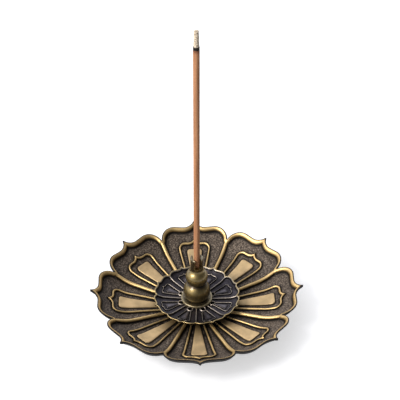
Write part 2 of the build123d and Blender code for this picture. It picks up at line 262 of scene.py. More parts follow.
class InnerDishSettings(bpy.types.PropertyGroup):
    """Sizes and colours of the small dish."""

    turn: bpy.props.FloatProperty(
        name="Turn", description="Angle of its petals against the large dish",
        default=math.radians(19.5), subtype="ANGLE",
    )
    tip: length("Tip radius", "From the axis to a petal's tip", 21.0)
    point_length: length("Point length", "From a petal's flat end to its tip", 1.26)
    point_half: length("Point half width", "Half the width of the pointed part", 1.89)
    flat: length("Flat", "Short straight run beside the point", 2.1)
    notch_depth: length("Notch depth", "How far the notches lie inside the tips", 1.995)
    rim_width: length("Rim width", "Width of the bead along the edge", 0.8)
    ridge_inner: length("Ridge width at the hub", "Width of the bead between petals", 0.6)
    ridge_outer: length("Ridge width at the rim", "Width of the bead between petals", 0.9)
    bead: length("Bead height", "Height of the rim and ridges over the floor", 0.8)
    hub: length("Hub radius", "Where the petals start", 6.3)
    bend: length("Bend radius", "Where the floor turns up", 16.0)
    bend_fillet: length("Bend rounding", "Radius of the turn", 6.0)
    hub_floor: length("Hub floor", "Floor level at the hub", 8.2)
    bend_floor: length("Bend floor", "Floor level at the bend", 8.8)
    tip_floor: length("Tip floor", "Floor level at the tip", 11.0)
    hub_under: length("Hub underside", "Underside level at the hub", 6.8)
    bend_under: length("Bend underside", "Underside level at the bend", 7.9)
    tip_under: length("Tip underside", "Underside level at the tip", 10.5)
    floor_start: length("Floor start", "Radius where the floor starts to rise", 7.8)
    rib_tip: length("Raised line reach", "From the axis to the raised line's tip", 18.1)
    rib_point_length: length("Raised line point", "Length of its pointed part", 1.0)
    rib_point_half: length("Raised line point half width", "Half width of its pointed part", 1.3)
    rib_flat: length("Raised line flat", "Straight run beside its point", 0.7)
    rib_shoulder_length: length("Raised line shoulder length", "Length of its round shoulder", 1.5)
    rib_shoulder_width: length("Raised line shoulder width", "Width of its round shoulder", 1.4)
    rib_start: length("Raised line start", "Radius where it starts", 8.9)
    rib_start_half: length("Raised line start half width", "Half width where it starts", 1.2)
    rib_width: length("Raised line width", "Thickness of the line", 0.45)
    rib_height: length("Raised line height", "Height over the floor", 0.5)
    tongue_start: length("Leaf start", "Radius where the inner leaf starts", 8.9)
    tongue_reach: length("Leaf reach", "Radius where it ends", 15.4)
    tongue_inner_half: length("Leaf inner half width", "Half width at its start", 0.4)
    tongue_outer_half: length("Leaf outer half width", "Half width at its end", 1.7)
    tongue_corner: length("Leaf corner", "Radius of its outer corners", 0.7)
    tongue_height: length("Leaf height", "Height over the floor", 0.35)
    tongue_edge: length("Leaf edge rounding", "Width of its rounded edge", 0.25)
    # The leaf's rubbing and its painted highlight grow in over this width
    tongue_fade: length("Leaf fade", "Width over which its rubbing fades in", 1.3)
    loop_centre: length("Ring place", "Radius of the ring at a petal's base", 7.9)
    loop_radius: length("Ring radius", "Outside of the ring", 1.6)
    loop_width: length("Ring width", "Thickness of the ring", 0.6)
    loop_height: length("Ring height", "Height over the floor", 0.7)
    step: length("Point spacing", "Spacing of mesh points along the raised lines", 0.32)
    fill: length("Field spacing", "Spacing of mesh points between them", 0.5)
    boss_radius: length("Boss radius", "Boss that stands on the large dish", 9.0)
    boss_foot: length("Boss foot", "Level of the boss's foot", 5.6)
    boss_edge: length("Boss edge", "Worn edge of the boss", 0.2)
    hole_radius: length("Hole radius", "Hole for the screw", 2.25)
    patina: colour("Patina", "Blue-black patina of the ground", "#37343A")
    # Painted shade with blackening beside the raised lines, in the rings' holes and at the outer wall
    patina_deep: colour("Patina, corners", "Blackening left beside the raised lines", "#090809")
    # Rubbed patina with a painted highlight towards the leaves' middles
    patina_leaf: colour("Patina, leaves", "Patina rubbed a little on the inner leaves", "#827D84")
    patina_light: colour("Patina, rubbed", "Patina rubbed thin on the raised lines", "#ADA49C")
    rim_brass: colour("Rim", "Brass worn bare along the rim", "#C9B587")


class GourdSettings(bpy.types.PropertyGroup):
    """Sizes and colours of the gourd post."""

    flange_radius: length("Flange radius", "Round flange under the gourd", 7.4)
    flange_thickness: length("Flange thickness", "Height of the flange", 1.0)
    flange_edge: length("Flange edge", "Rounding of its upper edge", 0.3)
    lower_radius: length("Lower bulb", "Radius of the lower bulb", 6.33)
    lower_rise: length("Lower bulb rise", "From the seat to the lower bulb's middle", 5.0)
    upper_radius: length("Upper bulb", "Radius of the upper bulb", 5.19)
    spacing: length("Bulb spacing", "Between the middles of the bulbs", 8.4)
    neck_radius: length("Neck radius", "Outside of the neck", 3.0)
    neck_fillet: length("Neck rounding", "Hollow between neck and bulb", 3.0)
    mouth_lip: length("Lip", "Wall left at the mouth", 0.5)
    funnel_depth: length("Funnel depth", "Depth of the mouth's taper", 2.0)
    bore_radius: length("Bore radius", "Hole for the stick", 1.48)
    bore_depth: length("Bore depth", "Depth of that hole", 14.0)
    slot_width: length("Slot width", "Saw cut between the two prongs", 3.0)
    slot_depth: length("Slot depth", "Depth of the saw cut", 5.0)
    slot_turn: bpy.props.FloatProperty(
        name="Slot turn", description="Direction of the saw cut", default=math.radians(14.0), subtype="ANGLE",
    )
    tapped_radius: length("Tapped radius", "Hole for the screw", 2.0)
    tapped_depth: length("Tapped depth", "Depth of that hole", 8.0)
    brass_olive: colour("Brass, body", "Old polish on the bulbs", "#82724A")
    # Tarnish in the creases, and painted shade on the neck and in the bore
    brass_brown: colour("Brass, brown", "Brown tarnish in the hollows", "#31271A")
    # Bare metal, with a painted highlight along the lip and the flange's edge
    brass_pale: colour("Brass, bare", "Bare metal on the flange and lip", "#A59A7E")


class StickSettings(bpy.types.PropertyGroup):
    """Surface and colours of the stick and its burnt end."""

    waver: length("Waver", "Unevenness of the pressed stick", 0.03)
    crumble: length("Crumble", "Unevenness of the ash", 0.16)
    foot_play: length("Foot play", "Gap between the stick's foot and the bottom of its bore", 0.02)
    paste: colour("Paste", "Pressed sandalwood powder", "#B08160")
    paste_dark: colour("Paste, dark", "Darker streaks and grains", "#8C6042")
    scorch: colour("Scorch", "Paste browned next to the char", "#6A4330")
    char: colour("Char", "Burnt paste", "#15110F")
    ash: colour("Ash", "Pale ash", "#D5C8B4")
    ash_dark: colour("Ash, cracks", "Ash in the cracks", "#8D8073")


class StageSettings(bpy.types.PropertyGroup):
    """Camera, floor and light."""

    camera_place: bpy.props.FloatVectorProperty(
        name="Camera", description="Place of the camera", default=(0.001495, -0.43265, 0.4056), unit="LENGTH",
    )
    camera_target: bpy.props.FloatVectorProperty(
        name="Target", description="Point in the middle of the picture", default=(0.001495, 0.0, 0.06765),
        unit="LENGTH",
    )
    picture_turn: bpy.props.FloatProperty(
        name="Turn", description="Turn of the dish in the picture",
        default=math.radians(1.84), subtype="ANGLE",
    )
    lens: bpy.props.FloatProperty(name="Lens", description="Focal length in mm", default=111.515)
    floor_size: bpy.props.FloatProperty(
        name="Floor", description="Side of the floor", default=8.0, unit="LENGTH",
    )
    paper: colour("Paper", "White paper floor", "#F4F4F4")


# Nodes

def add_node(tree, kind, settings=None, inputs=None):
    """Adds a node with its settings; an input takes a value, a socket or a list of sockets."""
    made = tree.nodes.new(kind)
    for name, value in (settings or {}).items():
        setattr(made, name, value)
    for key, value in (inputs or {}).items():
        for one in value if isinstance(value, list) else [value]:
            if isinstance(one, bpy.types.NodeSocket):
                tree.links.new(one, made.inputs[key])
            else:
                made.inputs[key].default_value = one
    return made


def new_material(name):
    """An empty node material with its output and its shader."""
    material = bpy.data.materials.new(name)
    material.use_nodes = True
    tree = material.node_tree
    tree.nodes.clear()
    shader = add_node(tree, "ShaderNodeBsdfPrincipled")
    add_node(tree, "ShaderNodeOutputMaterial", inputs={"Surface": shader.outputs["BSDF"]})
    return material, tree, shader


# Materials

def antique_cast_brass(settings):
    """Cast brass: black stippled ground, bright metal where it stands up and is rubbed."""
    material, tree, shader = new_material("antique_cast_brass")
    place = add_node(tree, "ShaderNodeTexCoord").outputs["Object"]
    crest, tongue, reach, top, groove = (
        add_node(tree, "ShaderNodeAttribute", {"attribute_name": mark}).outputs["Fac"]
        for mark in ("crest", "tongue", "reach", "top", "groove")
    )
    # The punched grains of the ground are about 0.3 mm; drawn at 0.65 mm so that they show
    grains = add_node(
        tree, "ShaderNodeTexVoronoi", {"feature": "SMOOTH_F1"},
        {"Vector": place, "Scale": per_metre(0.65), "Smoothness": 0.35},
    ).outputs["Distance"]
    specks = add_node(
        tree, "ShaderNodeTexNoise", None,
        {"Vector": place, "Scale": per_metre(0.7), "Detail": 3.0, "Roughness": 0.65},
    ).outputs["Fac"]
    # Tarnish gathers in patches several millimetres wide
    patches = add_node(
        tree, "ShaderNodeTexNoise", None,
        {"Vector": place, "Scale": per_metre(9.0), "Detail": 3.0, "Roughness": 0.55},
    ).outputs["Fac"]
    rubbed = add_node(
        tree, "ShaderNodeMapRange", {"interpolation_type": "SMOOTHSTEP"},
        {"Value": specks, "From Min": 0.4, "From Max": 0.75, "To Min": 0.05, "To Max": 1.0},
    ).outputs["Result"]
    # Blackening stays thickest in the corners beside the beads, where it can't be rubbed off; painted shade
    # darkens the same corners, the outer flank of the rim, the outer wall and the underside near the edge
    open_ground = add_node(
        tree, "ShaderNodeMath", {"operation": "MULTIPLY_ADD", "use_clamp": True},
        {0: groove, 1: -1.1, 2: 1.0},
    ).outputs[0]
    shown = add_node(
        tree, "ShaderNodeMath", {"operation": "MULTIPLY"}, {0: rubbed, 1: open_ground},
    ).outputs[0]
    grained = add_node(
        tree, "ShaderNodeMix", {"data_type": "RGBA"},
        {0: shown, 6: settings.ground_dark, 7: settings.ground_light},
    ).outputs[2]
    ground = add_node(
        tree, "ShaderNodeMix", {"data_type": "RGBA"},
        {0: open_ground, 6: settings.ground_black, 7: grained},
    ).outputs[2]
    # Fingers rub the crests of the beads, and tarnish breaks up the edge of the rubbed strip
    ragged = add_node(
        tree, "ShaderNodeMath", {"operation": "MULTIPLY_ADD"}, {0: patches, 1: 0.5, 2: crest},
    ).outputs[0]
    bare = add_node(
        tree, "ShaderNodeMapRange", {"interpolation_type": "SMOOTHSTEP"},
        {"Value": ragged, "From Min": 0.61, "From Max": 0.96, "To Min": 0.0, "To Max": 1.0},
    ).outputs["Result"]
    bright = add_node(
        tree, "ShaderNodeMapRange", {"interpolation_type": "SMOOTHSTEP"},
        {"Value": ragged, "From Min": 0.73, "From Max": 1.22, "To Min": 0.0, "To Max": 1.0},
    ).outputs["Result"]
    bead = add_node(
        tree, "ShaderNodeMix", {"data_type": "RGBA"},
        {0: bright, 6: settings.brass_dull, 7: settings.brass_worn},
    ).outputs[2]
    raised = add_node(
        tree, "ShaderNodeMix", {"data_type": "RGBA"}, {0: bare, 6: ground, 7: bead},
    ).outputs[2]
    # The tongues were ground flat and lacquered; painted shade darkens them towards the hub, under the small
    # dish
    polish = add_node(
        tree, "ShaderNodeMapRange", {"interpolation_type": "SMOOTHSTEP"},
        {"Value": reach, "From Min": 0.28, "From Max": 0.5, "To Min": 0.15, "To Max": 1.0},
    ).outputs["Result"]
    satin = add_node(
        tree, "ShaderNodeMix", {"data_type": "RGBA"},
        {0: polish, 6: settings.brass_dull, 7: settings.tongue_satin},
    ).outputs[2]
    clouds = add_node(
        tree, "ShaderNodeTexNoise", None,
        {"Vector": place, "Scale": per_metre(6.0), "Detail": 3.0, "Roughness": 0.55},
    ).outputs["Fac"]
    clouded = add_node(
        tree, "ShaderNodeMapRange", None,
        {"Value": clouds, "From Min": 0.36, "From Max": 0.64, "To Min": 0.0, "To Max": 1.0},
    ).outputs["Result"]
    worn_satin = add_node(
        tree, "ShaderNodeMix", {"data_type": "RGBA", "blend_type": "MULTIPLY"},
        {0: 0.27, 6: satin, 7: clouded},
    ).outputs[2]
    surface = add_node(
        tree, "ShaderNodeMix", {"data_type": "RGBA"}, {0: tongue, 6: raised, 7: worn_satin},
    ).outputs[2]
    metal = add_node(tree, "ShaderNodeMath", {"operation": "MAXIMUM"}, {0: bare, 1: tongue}).outputs[0]
    gloss = add_node(
        tree, "ShaderNodeMapRange", None,
        {"Value": metal, "From Min": 0.0, "From Max": 1.0, "To Min": 0.5, "To Max": 0.47},
    ).outputs["Result"]
    roughness = add_node(
        tree, "ShaderNodeMath", {"operation": "MULTIPLY_ADD"}, {0: patches, 1: 0.12, 2: gloss},
    ).outputs[0]
    grainy = add_node(
        tree, "ShaderNodeMath", {"operation": "SUBTRACT", "use_clamp": True}, {0: top, 1: metal},
    ).outputs[0]
    depth = add_node(
        tree, "ShaderNodeMapRange", None,
        {"Value": grainy, "From Min": 0.0, "From Max": 1.0, "To Min": 0.04, "To Max": 0.55},
    ).outputs["Result"]
    bump = add_node(
        tree, "ShaderNodeBump", None, {"Strength": depth, "Distance": 0.25 * MM, "Height": grains},
    ).outputs["Normal"]
    clean = add_node(
        tree, "ShaderNodeMapRange", None,
        {"Value": metal, "From Min": 0.0, "From Max": 1.0, "To Min": 0.35, "To Max": 1.0},
    ).outputs["Result"]
    # Lacquer turned cloudy on the tongues scatters part of the light
    metallic = add_node(
        tree, "ShaderNodeMath", {"operation": "MULTIPLY_ADD"}, {0: tongue, 1: -0.3, 2: clean},
    ).outputs[0]
    tree.links.new(surface, shader.inputs["Base Color"])
    tree.links.new(metallic, shader.inputs["Metallic"])
    tree.links.new(roughness, shader.inputs["Roughness"])
    shader.inputs["Specular IOR Level"].default_value = 0.25
    tree.links.new(bump, shader.inputs["Normal"])
    return material


def blue_black_patina_brass(settings):
    """Cast brass under a blue-black patina: dull slate ground, lines rubbed grey, rim worn to gold."""
    material, tree, shader = new_material("blue_black_patina_brass")
    place = add_node(tree, "ShaderNodeTexCoord").outputs["Object"]
    crest, rim, leaf, groove = (
        add_node(tree, "ShaderNodeAttribute", {"attribute_name": mark}).outputs["Fac"]
        for mark in ("crest", "rim", "tongue", "groove")
    )
    # Patina crystals are far below a tenth of a millimetre; drawn at 0.5 mm so that they show
    crystals = add_node(
        tree, "ShaderNodeTexNoise", None,
        {"Vector": place, "Scale": per_metre(0.5), "Detail": 3.0, "Roughness": 0.6},
    ).outputs["Fac"]
    patches = add_node(
        tree, "ShaderNodeTexNoise", None,
        {"Vector": place, "Scale": per_metre(4.0), "Detail": 3.0, "Roughness": 0.55},
    ).outputs["Fac"]
    ragged = add_node(
        tree, "ShaderNodeMath", {"operation": "MULTIPLY_ADD"}, {0: crystals, 1: 0.5, 2: crest},
    ).outputs[0]
    # Painted shade makes the lines and leaves of the front petals duller than those of the others
    depth = add_node(tree, "ShaderNodeSeparateXYZ", None, {"Vector": place}).outputs["Y"]
    front_shade = add_node(
        tree, "ShaderNodeMapRange", {"interpolation_type": "SMOOTHSTEP"},
        {"Value": depth, "From Min": -17.0 * MM, "From Max": -6.0 * MM, "To Min": 0.4, "To Max": 1.0},
    ).outputs["Result"]
    line = add_node(
        tree, "ShaderNodeMapRange", {"interpolation_type": "SMOOTHSTEP"},
        {"Value": ragged, "From Min": 0.75, "From Max": 1.3, "To Min": 0.0, "To Max": 1.0},
    ).outputs["Result"]
    rubbed = add_node(
        tree, "ShaderNodeMath", {"operation": "MULTIPLY"}, {0: line, 1: front_shade},
    ).outputs[0]
    mottled = add_node(
        tree, "ShaderNodeMapRange", None,
        {"Value": crystals, "From Min": 0.35, "From Max": 0.65, "To Min": 0.45, "To Max": 1.0},
    ).outputs["Result"]
    thin = add_node(
        tree, "ShaderNodeMapRange", {"interpolation_type": "SMOOTHSTEP"},
        {"Value": patches, "From Min": 0.45, "From Max": 0.7, "To Min": 0.0, "To Max": 0.25},
    ).outputs["Result"]
    # The leaves are paler towards their middles: rubbed patina with a painted highlight
    worn = add_node(
        tree, "ShaderNodeMath", {"operation": "MAXIMUM"}, {0: leaf, 1: thin},
    ).outputs[0]
    spotted = add_node(
        tree, "ShaderNodeMath", {"operation": "MULTIPLY"}, {0: worn, 1: mottled},
    ).outputs[0]
    paler = add_node(
        tree, "ShaderNodeMath", {"operation": "MULTIPLY"}, {0: spotted, 1: front_shade},
    ).outputs[0]
    field = add_node(
        tree, "ShaderNodeMix", {"data_type": "RGBA"},
        {0: paler, 6: settings.patina, 7: settings.patina_leaf},
    ).outputs[2]
    # Blackening and painted shade darken the corners beside the raised lines, the holes of the rings, the
    # outer wall and the underside near the edge
    ground = add_node(
        tree, "ShaderNodeMix", {"data_type": "RGBA"}, {0: groove, 6: field, 7: settings.patina_deep},
    ).outputs[2]
    slate = add_node(
        tree, "ShaderNodeMix", {"data_type": "RGBA"}, {0: rubbed, 6: ground, 7: settings.patina_light},
    ).outputs[2]
    ragged_rim = add_node(
        tree, "ShaderNodeMath", {"operation": "MULTIPLY_ADD"}, {0: patches, 1: 0.8, 2: rim},
    ).outputs[0]
    gold = add_node(
        tree, "ShaderNodeMapRange", {"interpolation_type": "SMOOTHSTEP"},
        {"Value": ragged_rim, "From Min": 0.75, "From Max": 1.3, "To Min": 0.0, "To Max": 1.0},
    ).outputs["Result"]
    surface = add_node(
        tree, "ShaderNodeMix", {"data_type": "RGBA"}, {0: gold, 6: slate, 7: settings.rim_brass},
    ).outputs[2]
    metallic = add_node(
        tree, "ShaderNodeMapRange", None,
        {"Value": gold, "From Min": 0.0, "From Max": 1.0, "To Min": 0.8, "To Max": 1.0},
    ).outputs["Result"]
    roughness = add_node(
        tree, "ShaderNodeMapRange", None,
        {"Value": crystals, "From Min": 0.3, "From Max": 0.7, "To Min": 0.36, "To Max": 0.5},
    ).outputs["Result"]
    bump = add_node(
        tree, "ShaderNodeBump", None, {"Strength": 0.2, "Distance": 0.1 * MM, "Height": crystals},
    ).outputs["Normal"]
    tree.links.new(surface, shader.inputs["Base Color"])
    tree.links.new(metallic, shader.inputs["Metallic"])
    tree.links.new(roughness, shader.inputs["Roughness"])
    shader.inputs["Specular IOR Level"].default_value = 0.3
    tree.links.new(bump, shader.inputs["Normal"])
    return material


def turned_olive_brass(settings):
    """Turned brass with an old olive polish: clear highlights, brown tarnish in the creases, painted shade on
    the neck and in the bore, bare flange and lip with a painted highlight on the lip and the flange's edge.
    """
    material, tree, shader = new_material("turned_olive_brass")
    place = add_node(tree, "ShaderNodeTexCoord").outputs["Object"]
    hollow, bare = (
        add_node(tree, "ShaderNodeAttribute", {"attribute_name": mark}).outputs["Fac"]
        for mark in ("hollow", "bare")
    )
    # Tarnish spots on turned brass run from about half a millimetre to several millimetres
    spots = add_node(
        tree, "ShaderNodeTexNoise", None,
        {"Vector": place, "Scale": per_metre(3.5), "Detail": 5.0, "Roughness": 0.62},
    ).outputs["Fac"]
    specks = add_node(
        tree, "ShaderNodeTexNoise", None,
        {"Vector": place, "Scale": per_metre(0.7), "Detail": 2.0, "Roughness": 0.6},
    ).outputs["Fac"]
    # Tarnish darkens the creases; painted shade darkens the neck and the bore
    cloudy = add_node(
        tree, "ShaderNodeMath", {"operation": "MULTIPLY_ADD"}, {0: hollow, 1: 0.7, 2: spots},
    ).outputs[0]
    tarnish = add_node(
        tree, "ShaderNodeMapRange", {"interpolation_type": "SMOOTHSTEP"},
        {"Value": cloudy, "From Min": 0.45, "From Max": 1.1, "To Min": 0.0, "To Max": 1.0},
    ).outputs["Result"]
    body = add_node(
        tree, "ShaderNodeMix", {"data_type": "RGBA"},
        {0: tarnish, 6: settings.brass_olive, 7: settings.brass_brown},
    ).outputs[2]
    spotted = add_node(
        tree, "ShaderNodeMapRange", {"interpolation_type": "SMOOTHSTEP"},
        {"Value": specks, "From Min": 0.35, "From Max": 0.6, "To Min": 0.35, "To Max": 1.0},
    ).outputs["Result"]
    # The lip and the flange's edge are bare metal with a painted highlight on them
    pale = add_node(tree, "ShaderNodeMath", {"operation": "MULTIPLY"}, {0: bare, 1: spotted}).outputs[0]
    surface = add_node(
        tree, "ShaderNodeMix", {"data_type": "RGBA"}, {0: pale, 6: body, 7: settings.brass_pale},
    ).outputs[2]
    matt = add_node(
        tree, "ShaderNodeMapRange", None,
        {"Value": bare, "From Min": 0.0, "From Max": 1.0, "To Min": 0.36, "To Max": 0.42},
    ).outputs["Result"]
    roughness = add_node(
        tree, "ShaderNodeMath", {"operation": "MULTIPLY_ADD"}, {0: spots, 1: 0.14, 2: matt},
    ).outputs[0]
    bump = add_node(
        tree, "ShaderNodeBump", None, {"Strength": 0.12, "Distance": 0.1 * MM, "Height": specks},
    ).outputs["Normal"]
    tree.links.new(surface, shader.inputs["Base Color"])
    shader.inputs["Metallic"].default_value = 1.0
    tree.links.new(roughness, shader.inputs["Roughness"])
    # A thin clear lacquer over the polish gives the small white highlight
    shader.inputs["Coat Weight"].default_value = 0.6
    shader.inputs["Coat Roughness"].default_value = 0.14
    tree.links.new(bump, shader.inputs["Normal"])
    return material


def zinc_plated_steel():
    """Zinc-plated steel screw: bright blue-grey metal with fine turning rings and dull plating spots."""
    material, tree, shader = new_material("zinc_plated_steel")
    place = add_node(tree, "ShaderNodeTexCoord").outputs["Object"]
    # Turning rings are about 0.1 mm apart; drawn at 0.35 mm so that they show
    rings = add_node(
        tree, "ShaderNodeTexWave", {"wave_type": "RINGS", "rings_direction": "Z"},
        {"Vector": place, "Scale": per_metre(0.35) / 20, "Distortion": 0.6, "Detail": 2.0},
    ).outputs["Fac"]
    spots = add_node(
        tree, "ShaderNodeTexNoise", None,
        {"Vector": place, "Scale": per_metre(1.2), "Detail": 4.0, "Roughness": 0.6},
    ).outputs["Fac"]
    surface = add_node(
        tree, "ShaderNodeMix", {"data_type": "RGBA"},
        {0: spots, 6: linear("#8F9295"), 7: linear("#C9CBCF")},
    ).outputs[2]
    roughness = add_node(
        tree, "ShaderNodeMapRange", None,
        {"Value": spots, "From Min": 0.3, "From Max": 0.7, "To Min": 0.26, "To Max": 0.44},
    ).outputs["Result"]
    bump = add_node(
        tree, "ShaderNodeBump", None, {"Strength": 0.15, "Distance": 0.05 * MM, "Height": rings},
    ).outputs["Normal"]
    tree.links.new(surface, shader.inputs["Base Color"])
    shader.inputs["Metallic"].default_value = 1.0
    tree.links.new(roughness, shader.inputs["Roughness"])
    tree.links.new(bump, shader.inputs["Normal"])
    return material


def pressed_sandalwood_paste(settings, char_level):
    """Extruded sandalwood paste: dead matt, faint long streaks, fine grains, scorched at the top."""
    material, tree, shader = new_material("pressed_sandalwood_paste")
    place = add_node(tree, "ShaderNodeTexCoord").outputs["Object"]
    # Streaks from the die are about 0.4 mm apart, drawn at 0.6 mm, and run for centimetres
    # Wood grains are about 0.3 mm, drawn at 0.45 mm so that they show
    drawn = add_node(
        tree, "ShaderNodeMapping", None, {"Vector": place, "Scale": (1.0, 1.0, 0.03)},
    ).outputs["Vector"]
    streaks = add_node(
        tree, "ShaderNodeTexNoise", None,
        {"Vector": drawn, "Scale": per_metre(0.6), "Detail": 2.0, "Roughness": 0.5},
    ).outputs["Fac"]
    grains = add_node(
        tree, "ShaderNodeTexNoise", None,
        {"Vector": place, "Scale": per_metre(0.45), "Detail": 4.0, "Roughness": 0.7},
    ).outputs["Fac"]
    mixed = add_node(
        tree, "ShaderNodeMath", {"operation": "MULTIPLY_ADD"}, {0: grains, 1: 0.8, 2: streaks},
    ).outputs[0]
    share = add_node(
        tree, "ShaderNodeMapRange", {"interpolation_type": "SMOOTHSTEP"},
        {"Value": mixed, "From Min": 0.65, "From Max": 1.2, "To Min": 0.0, "To Max": 1.0},
    ).outputs["Result"]
    paste = add_node(
        tree, "ShaderNodeMix", {"data_type": "RGBA"}, {0: share, 6: settings.paste, 7: settings.paste_dark},
    ).outputs[2]
    level = add_node(tree, "ShaderNodeSeparateXYZ", None, {"Vector": place}).outputs["Z"]
    heat = add_node(
        tree, "ShaderNodeMapRange", {"interpolation_type": "SMOOTHERSTEP"},
        {
            "Value": level, "From Min": char_level - 2.2 * MM, "From Max": char_level,
            "To Min": 0.0, "To Max": 0.85,
        },
    ).outputs["Result"]
    surface = add_node(
        tree, "ShaderNodeMix", {"data_type": "RGBA"}, {0: heat, 6: paste, 7: settings.scorch},
    ).outputs[2]
    bump = add_node(
        tree, "ShaderNodeBump", None, {"Strength": 0.3, "Distance": 0.12 * MM, "Height": mixed},
    ).outputs["Normal"]
    tree.links.new(surface, shader.inputs["Base Color"])
    shader.inputs["Roughness"].default_value = 0.9
    shader.inputs["Specular IOR Level"].default_value = 0.25
    tree.links.new(bump, shader.inputs["Normal"])
    return material


def charred_paste(settings):
    """Charred paste: black, matt and finely cracked, with a grey bloom on the high spots."""
    material, tree, shader = new_material("charred_paste")
    place = add_node(tree, "ShaderNodeTexCoord").outputs["Object"]
    # Char cracks into cells of about 0.3 mm, drawn at 0.5 so that they show
    cells = add_node(
        tree, "ShaderNodeTexVoronoi", None, {"Vector": place, "Scale": per_metre(0.5)},
    ).outputs["Distance"]
    bloom = add_node(
        tree, "ShaderNodeMapRange", {"interpolation_type": "SMOOTHSTEP"},
        {"Value": cells, "From Min": 0.0, "From Max": 0.7, "To Min": 0.22, "To Max": 0.0},
    ).outputs["Result"]
    surface = add_node(
        tree, "ShaderNodeMix", {"data_type": "RGBA"}, {0: bloom, 6: settings.char, 7: settings.ash_dark},
    ).outputs[2]
    bump = add_node(
        tree, "ShaderNodeBump", {"invert": True}, {"Strength": 0.6, "Distance": 0.15 * MM, "Height": cells},
    ).outputs["Normal"]
    tree.links.new(surface, shader.inputs["Base Color"])
    shader.inputs["Roughness"].default_value = 0.95
    shader.inputs["Specular IOR Level"].default_value = 0.2
    tree.links.new(bump, shader.inputs["Normal"])
    return material


def standing_ash(settings):
    """Ash that keeps the stick's shape: chalky pale grey flakes with darker cracks round the column."""
    material, tree, shader = new_material("standing_ash")
    place = add_node(tree, "ShaderNodeTexCoord").outputs["Object"]
    # Ash flakes are about 0.6 mm, drawn at 0.8 mm so that they show, and flatter than they are wide
    flat = add_node(
        tree, "ShaderNodeMapping", None, {"Vector": place, "Scale": (1.0, 1.0, 1.7)},
    ).outputs["Vector"]
    flakes = add_node(
        tree, "ShaderNodeTexNoise", None,
        {"Vector": flat, "Scale": per_metre(0.8), "Detail": 4.0, "Roughness": 0.65},
    ).outputs["Fac"]
    share = add_node(
        tree, "ShaderNodeMapRange", {"interpolation_type": "SMOOTHSTEP"},
        {"Value": flakes, "From Min": 0.38, "From Max": 0.58, "To Min": 0.0, "To Max": 1.0},
    ).outputs["Result"]
    surface = add_node(
        tree, "ShaderNodeMix", {"data_type": "RGBA"}, {0: share, 6: settings.ash_dark, 7: settings.ash},
    ).outputs[2]
    bump = add_node(
        tree, "ShaderNodeBump", None, {"Strength": 0.5, "Distance": 0.2 * MM, "Height": flakes},
    ).outputs["Normal"]
    tree.links.new(surface, shader.inputs["Base Color"])
    shader.inputs["Roughness"].default_value = 0.95
    shader.inputs["Specular IOR Level"].default_value = 0.2
    tree.links.new(bump, shader.inputs["Normal"])
    return material


def white_paper(settings):
    """Seamless white paper: matt, lifted to white for the eye and reflections, still taking the shadow."""
    material, tree, shader = new_material("white_paper")
    shader.inputs["Base Color"].default_value = settings.paper
    shader.inputs["Roughness"].default_value = 1.0
    shader.inputs["Specular IOR Level"].default_value = 0.0
    path = add_node(tree, "ShaderNodeLightPath").outputs
    seen = add_node(
        tree, "ShaderNodeMath", {"operation": "MAXIMUM"},
        {0: path["Is Camera Ray"], 1: path["Is Glossy Ray"]},
    ).outputs[0]
    shown = add_node(
        tree, "ShaderNodeMath", {"operation": "MAXIMUM"}, {0: seen, 1: path["Is Transmission Ray"]},
    ).outputs[0]
    lift = add_node(
        tree, "ShaderNodeMath", {"operation": "MULTIPLY"}, {0: shown, 1: PAPER_LIFT},
    ).outputs[0]
    tree.links.new(lift, shader.inputs["Emission Strength"])
    shader.inputs["Emission Color"].default_value = (1.0, 1.0, 1.0, 1.0)
    return material


# Plan lines and sections, in millimetres

def polar(reach, angle):
    """Plan point at a radius and an angle."""
    return np.array([reach * math.cos(angle), reach * math.sin(angle)])


def leaving_arc(start, heading, end, step=0.12):
    """Points on the arc that leaves start along heading and runs to end."""
    start, heading, end = (np.asarray(p, float) for p in (start, heading, end))
    side = np.array([-heading[1], heading[0]])
    chord = end - start
    radius = chord @ chord / (2 * (chord @ side))
    centre = start + side * radius
    first = math.atan2(*(start - centre)[::-1])
    last = math.atan2(*(end - centre)[::-1])
    sweep = (last - first) % math.tau if radius > 0 else -((first - last) % math.tau)
    count = max(3, math.ceil(abs(radius * sweep) / step) + 1)
    angles = first + sweep * np.linspace(0, 1, count)
    points = centre + abs(radius) * np.column_stack([np.cos(angles), np.sin(angles)])
    points[0], points[-1] = start, end
    return points


def stations(line, step):
    """Points spread evenly along a line, with its ends."""
    runs = np.hypot(*np.diff(line, axis=0).T)
    along = np.concatenate([[0.0], np.cumsum(runs)])
    places = np.linspace(0, along[-1], math.ceil(along[-1] / step) + 1)
    return np.column_stack([np.interp(places, along, line[:, axis]) for axis in (0, 1)])


def left_of(line):
    """Unit vectors to the left of a line at each of its points."""
    heading = np.gradient(line, axis=0)
    heading /= np.hypot(*heading.T)[:, None]
    return np.column_stack([-heading[:, 1], heading[:, 0]])


def distance(points, line):
    """Distance of each point from a line of short straight runs."""
    start, run = line[:-1], np.diff(line, axis=0)
    offset = points[:, None, :] - start[None]
    share = np.clip((offset * run).sum(2) / (run * run).sum(1), 0, 1)
    gap = offset - share[..., None] * run
    return np.sqrt((gap * gap).sum(2).min(1))


def inside(points, outline):
    """Whether each point lies inside a closed outline."""
    x, y = points[:, 0, None], points[:, 1, None] + 1e-7
    a, b = outline, np.roll(outline, -1, axis=0)
    crosses = (a[:, 1] > y) != (b[:, 1] > y)
    with np.errstate(divide="ignore", invalid="ignore"):
        at = a[:, 0] + (y - a[:, 1]) / (b[:, 1] - a[:, 1]) * (b[:, 0] - a[:, 0])
    return (crosses & (x < at)).sum(1) % 2 == 1


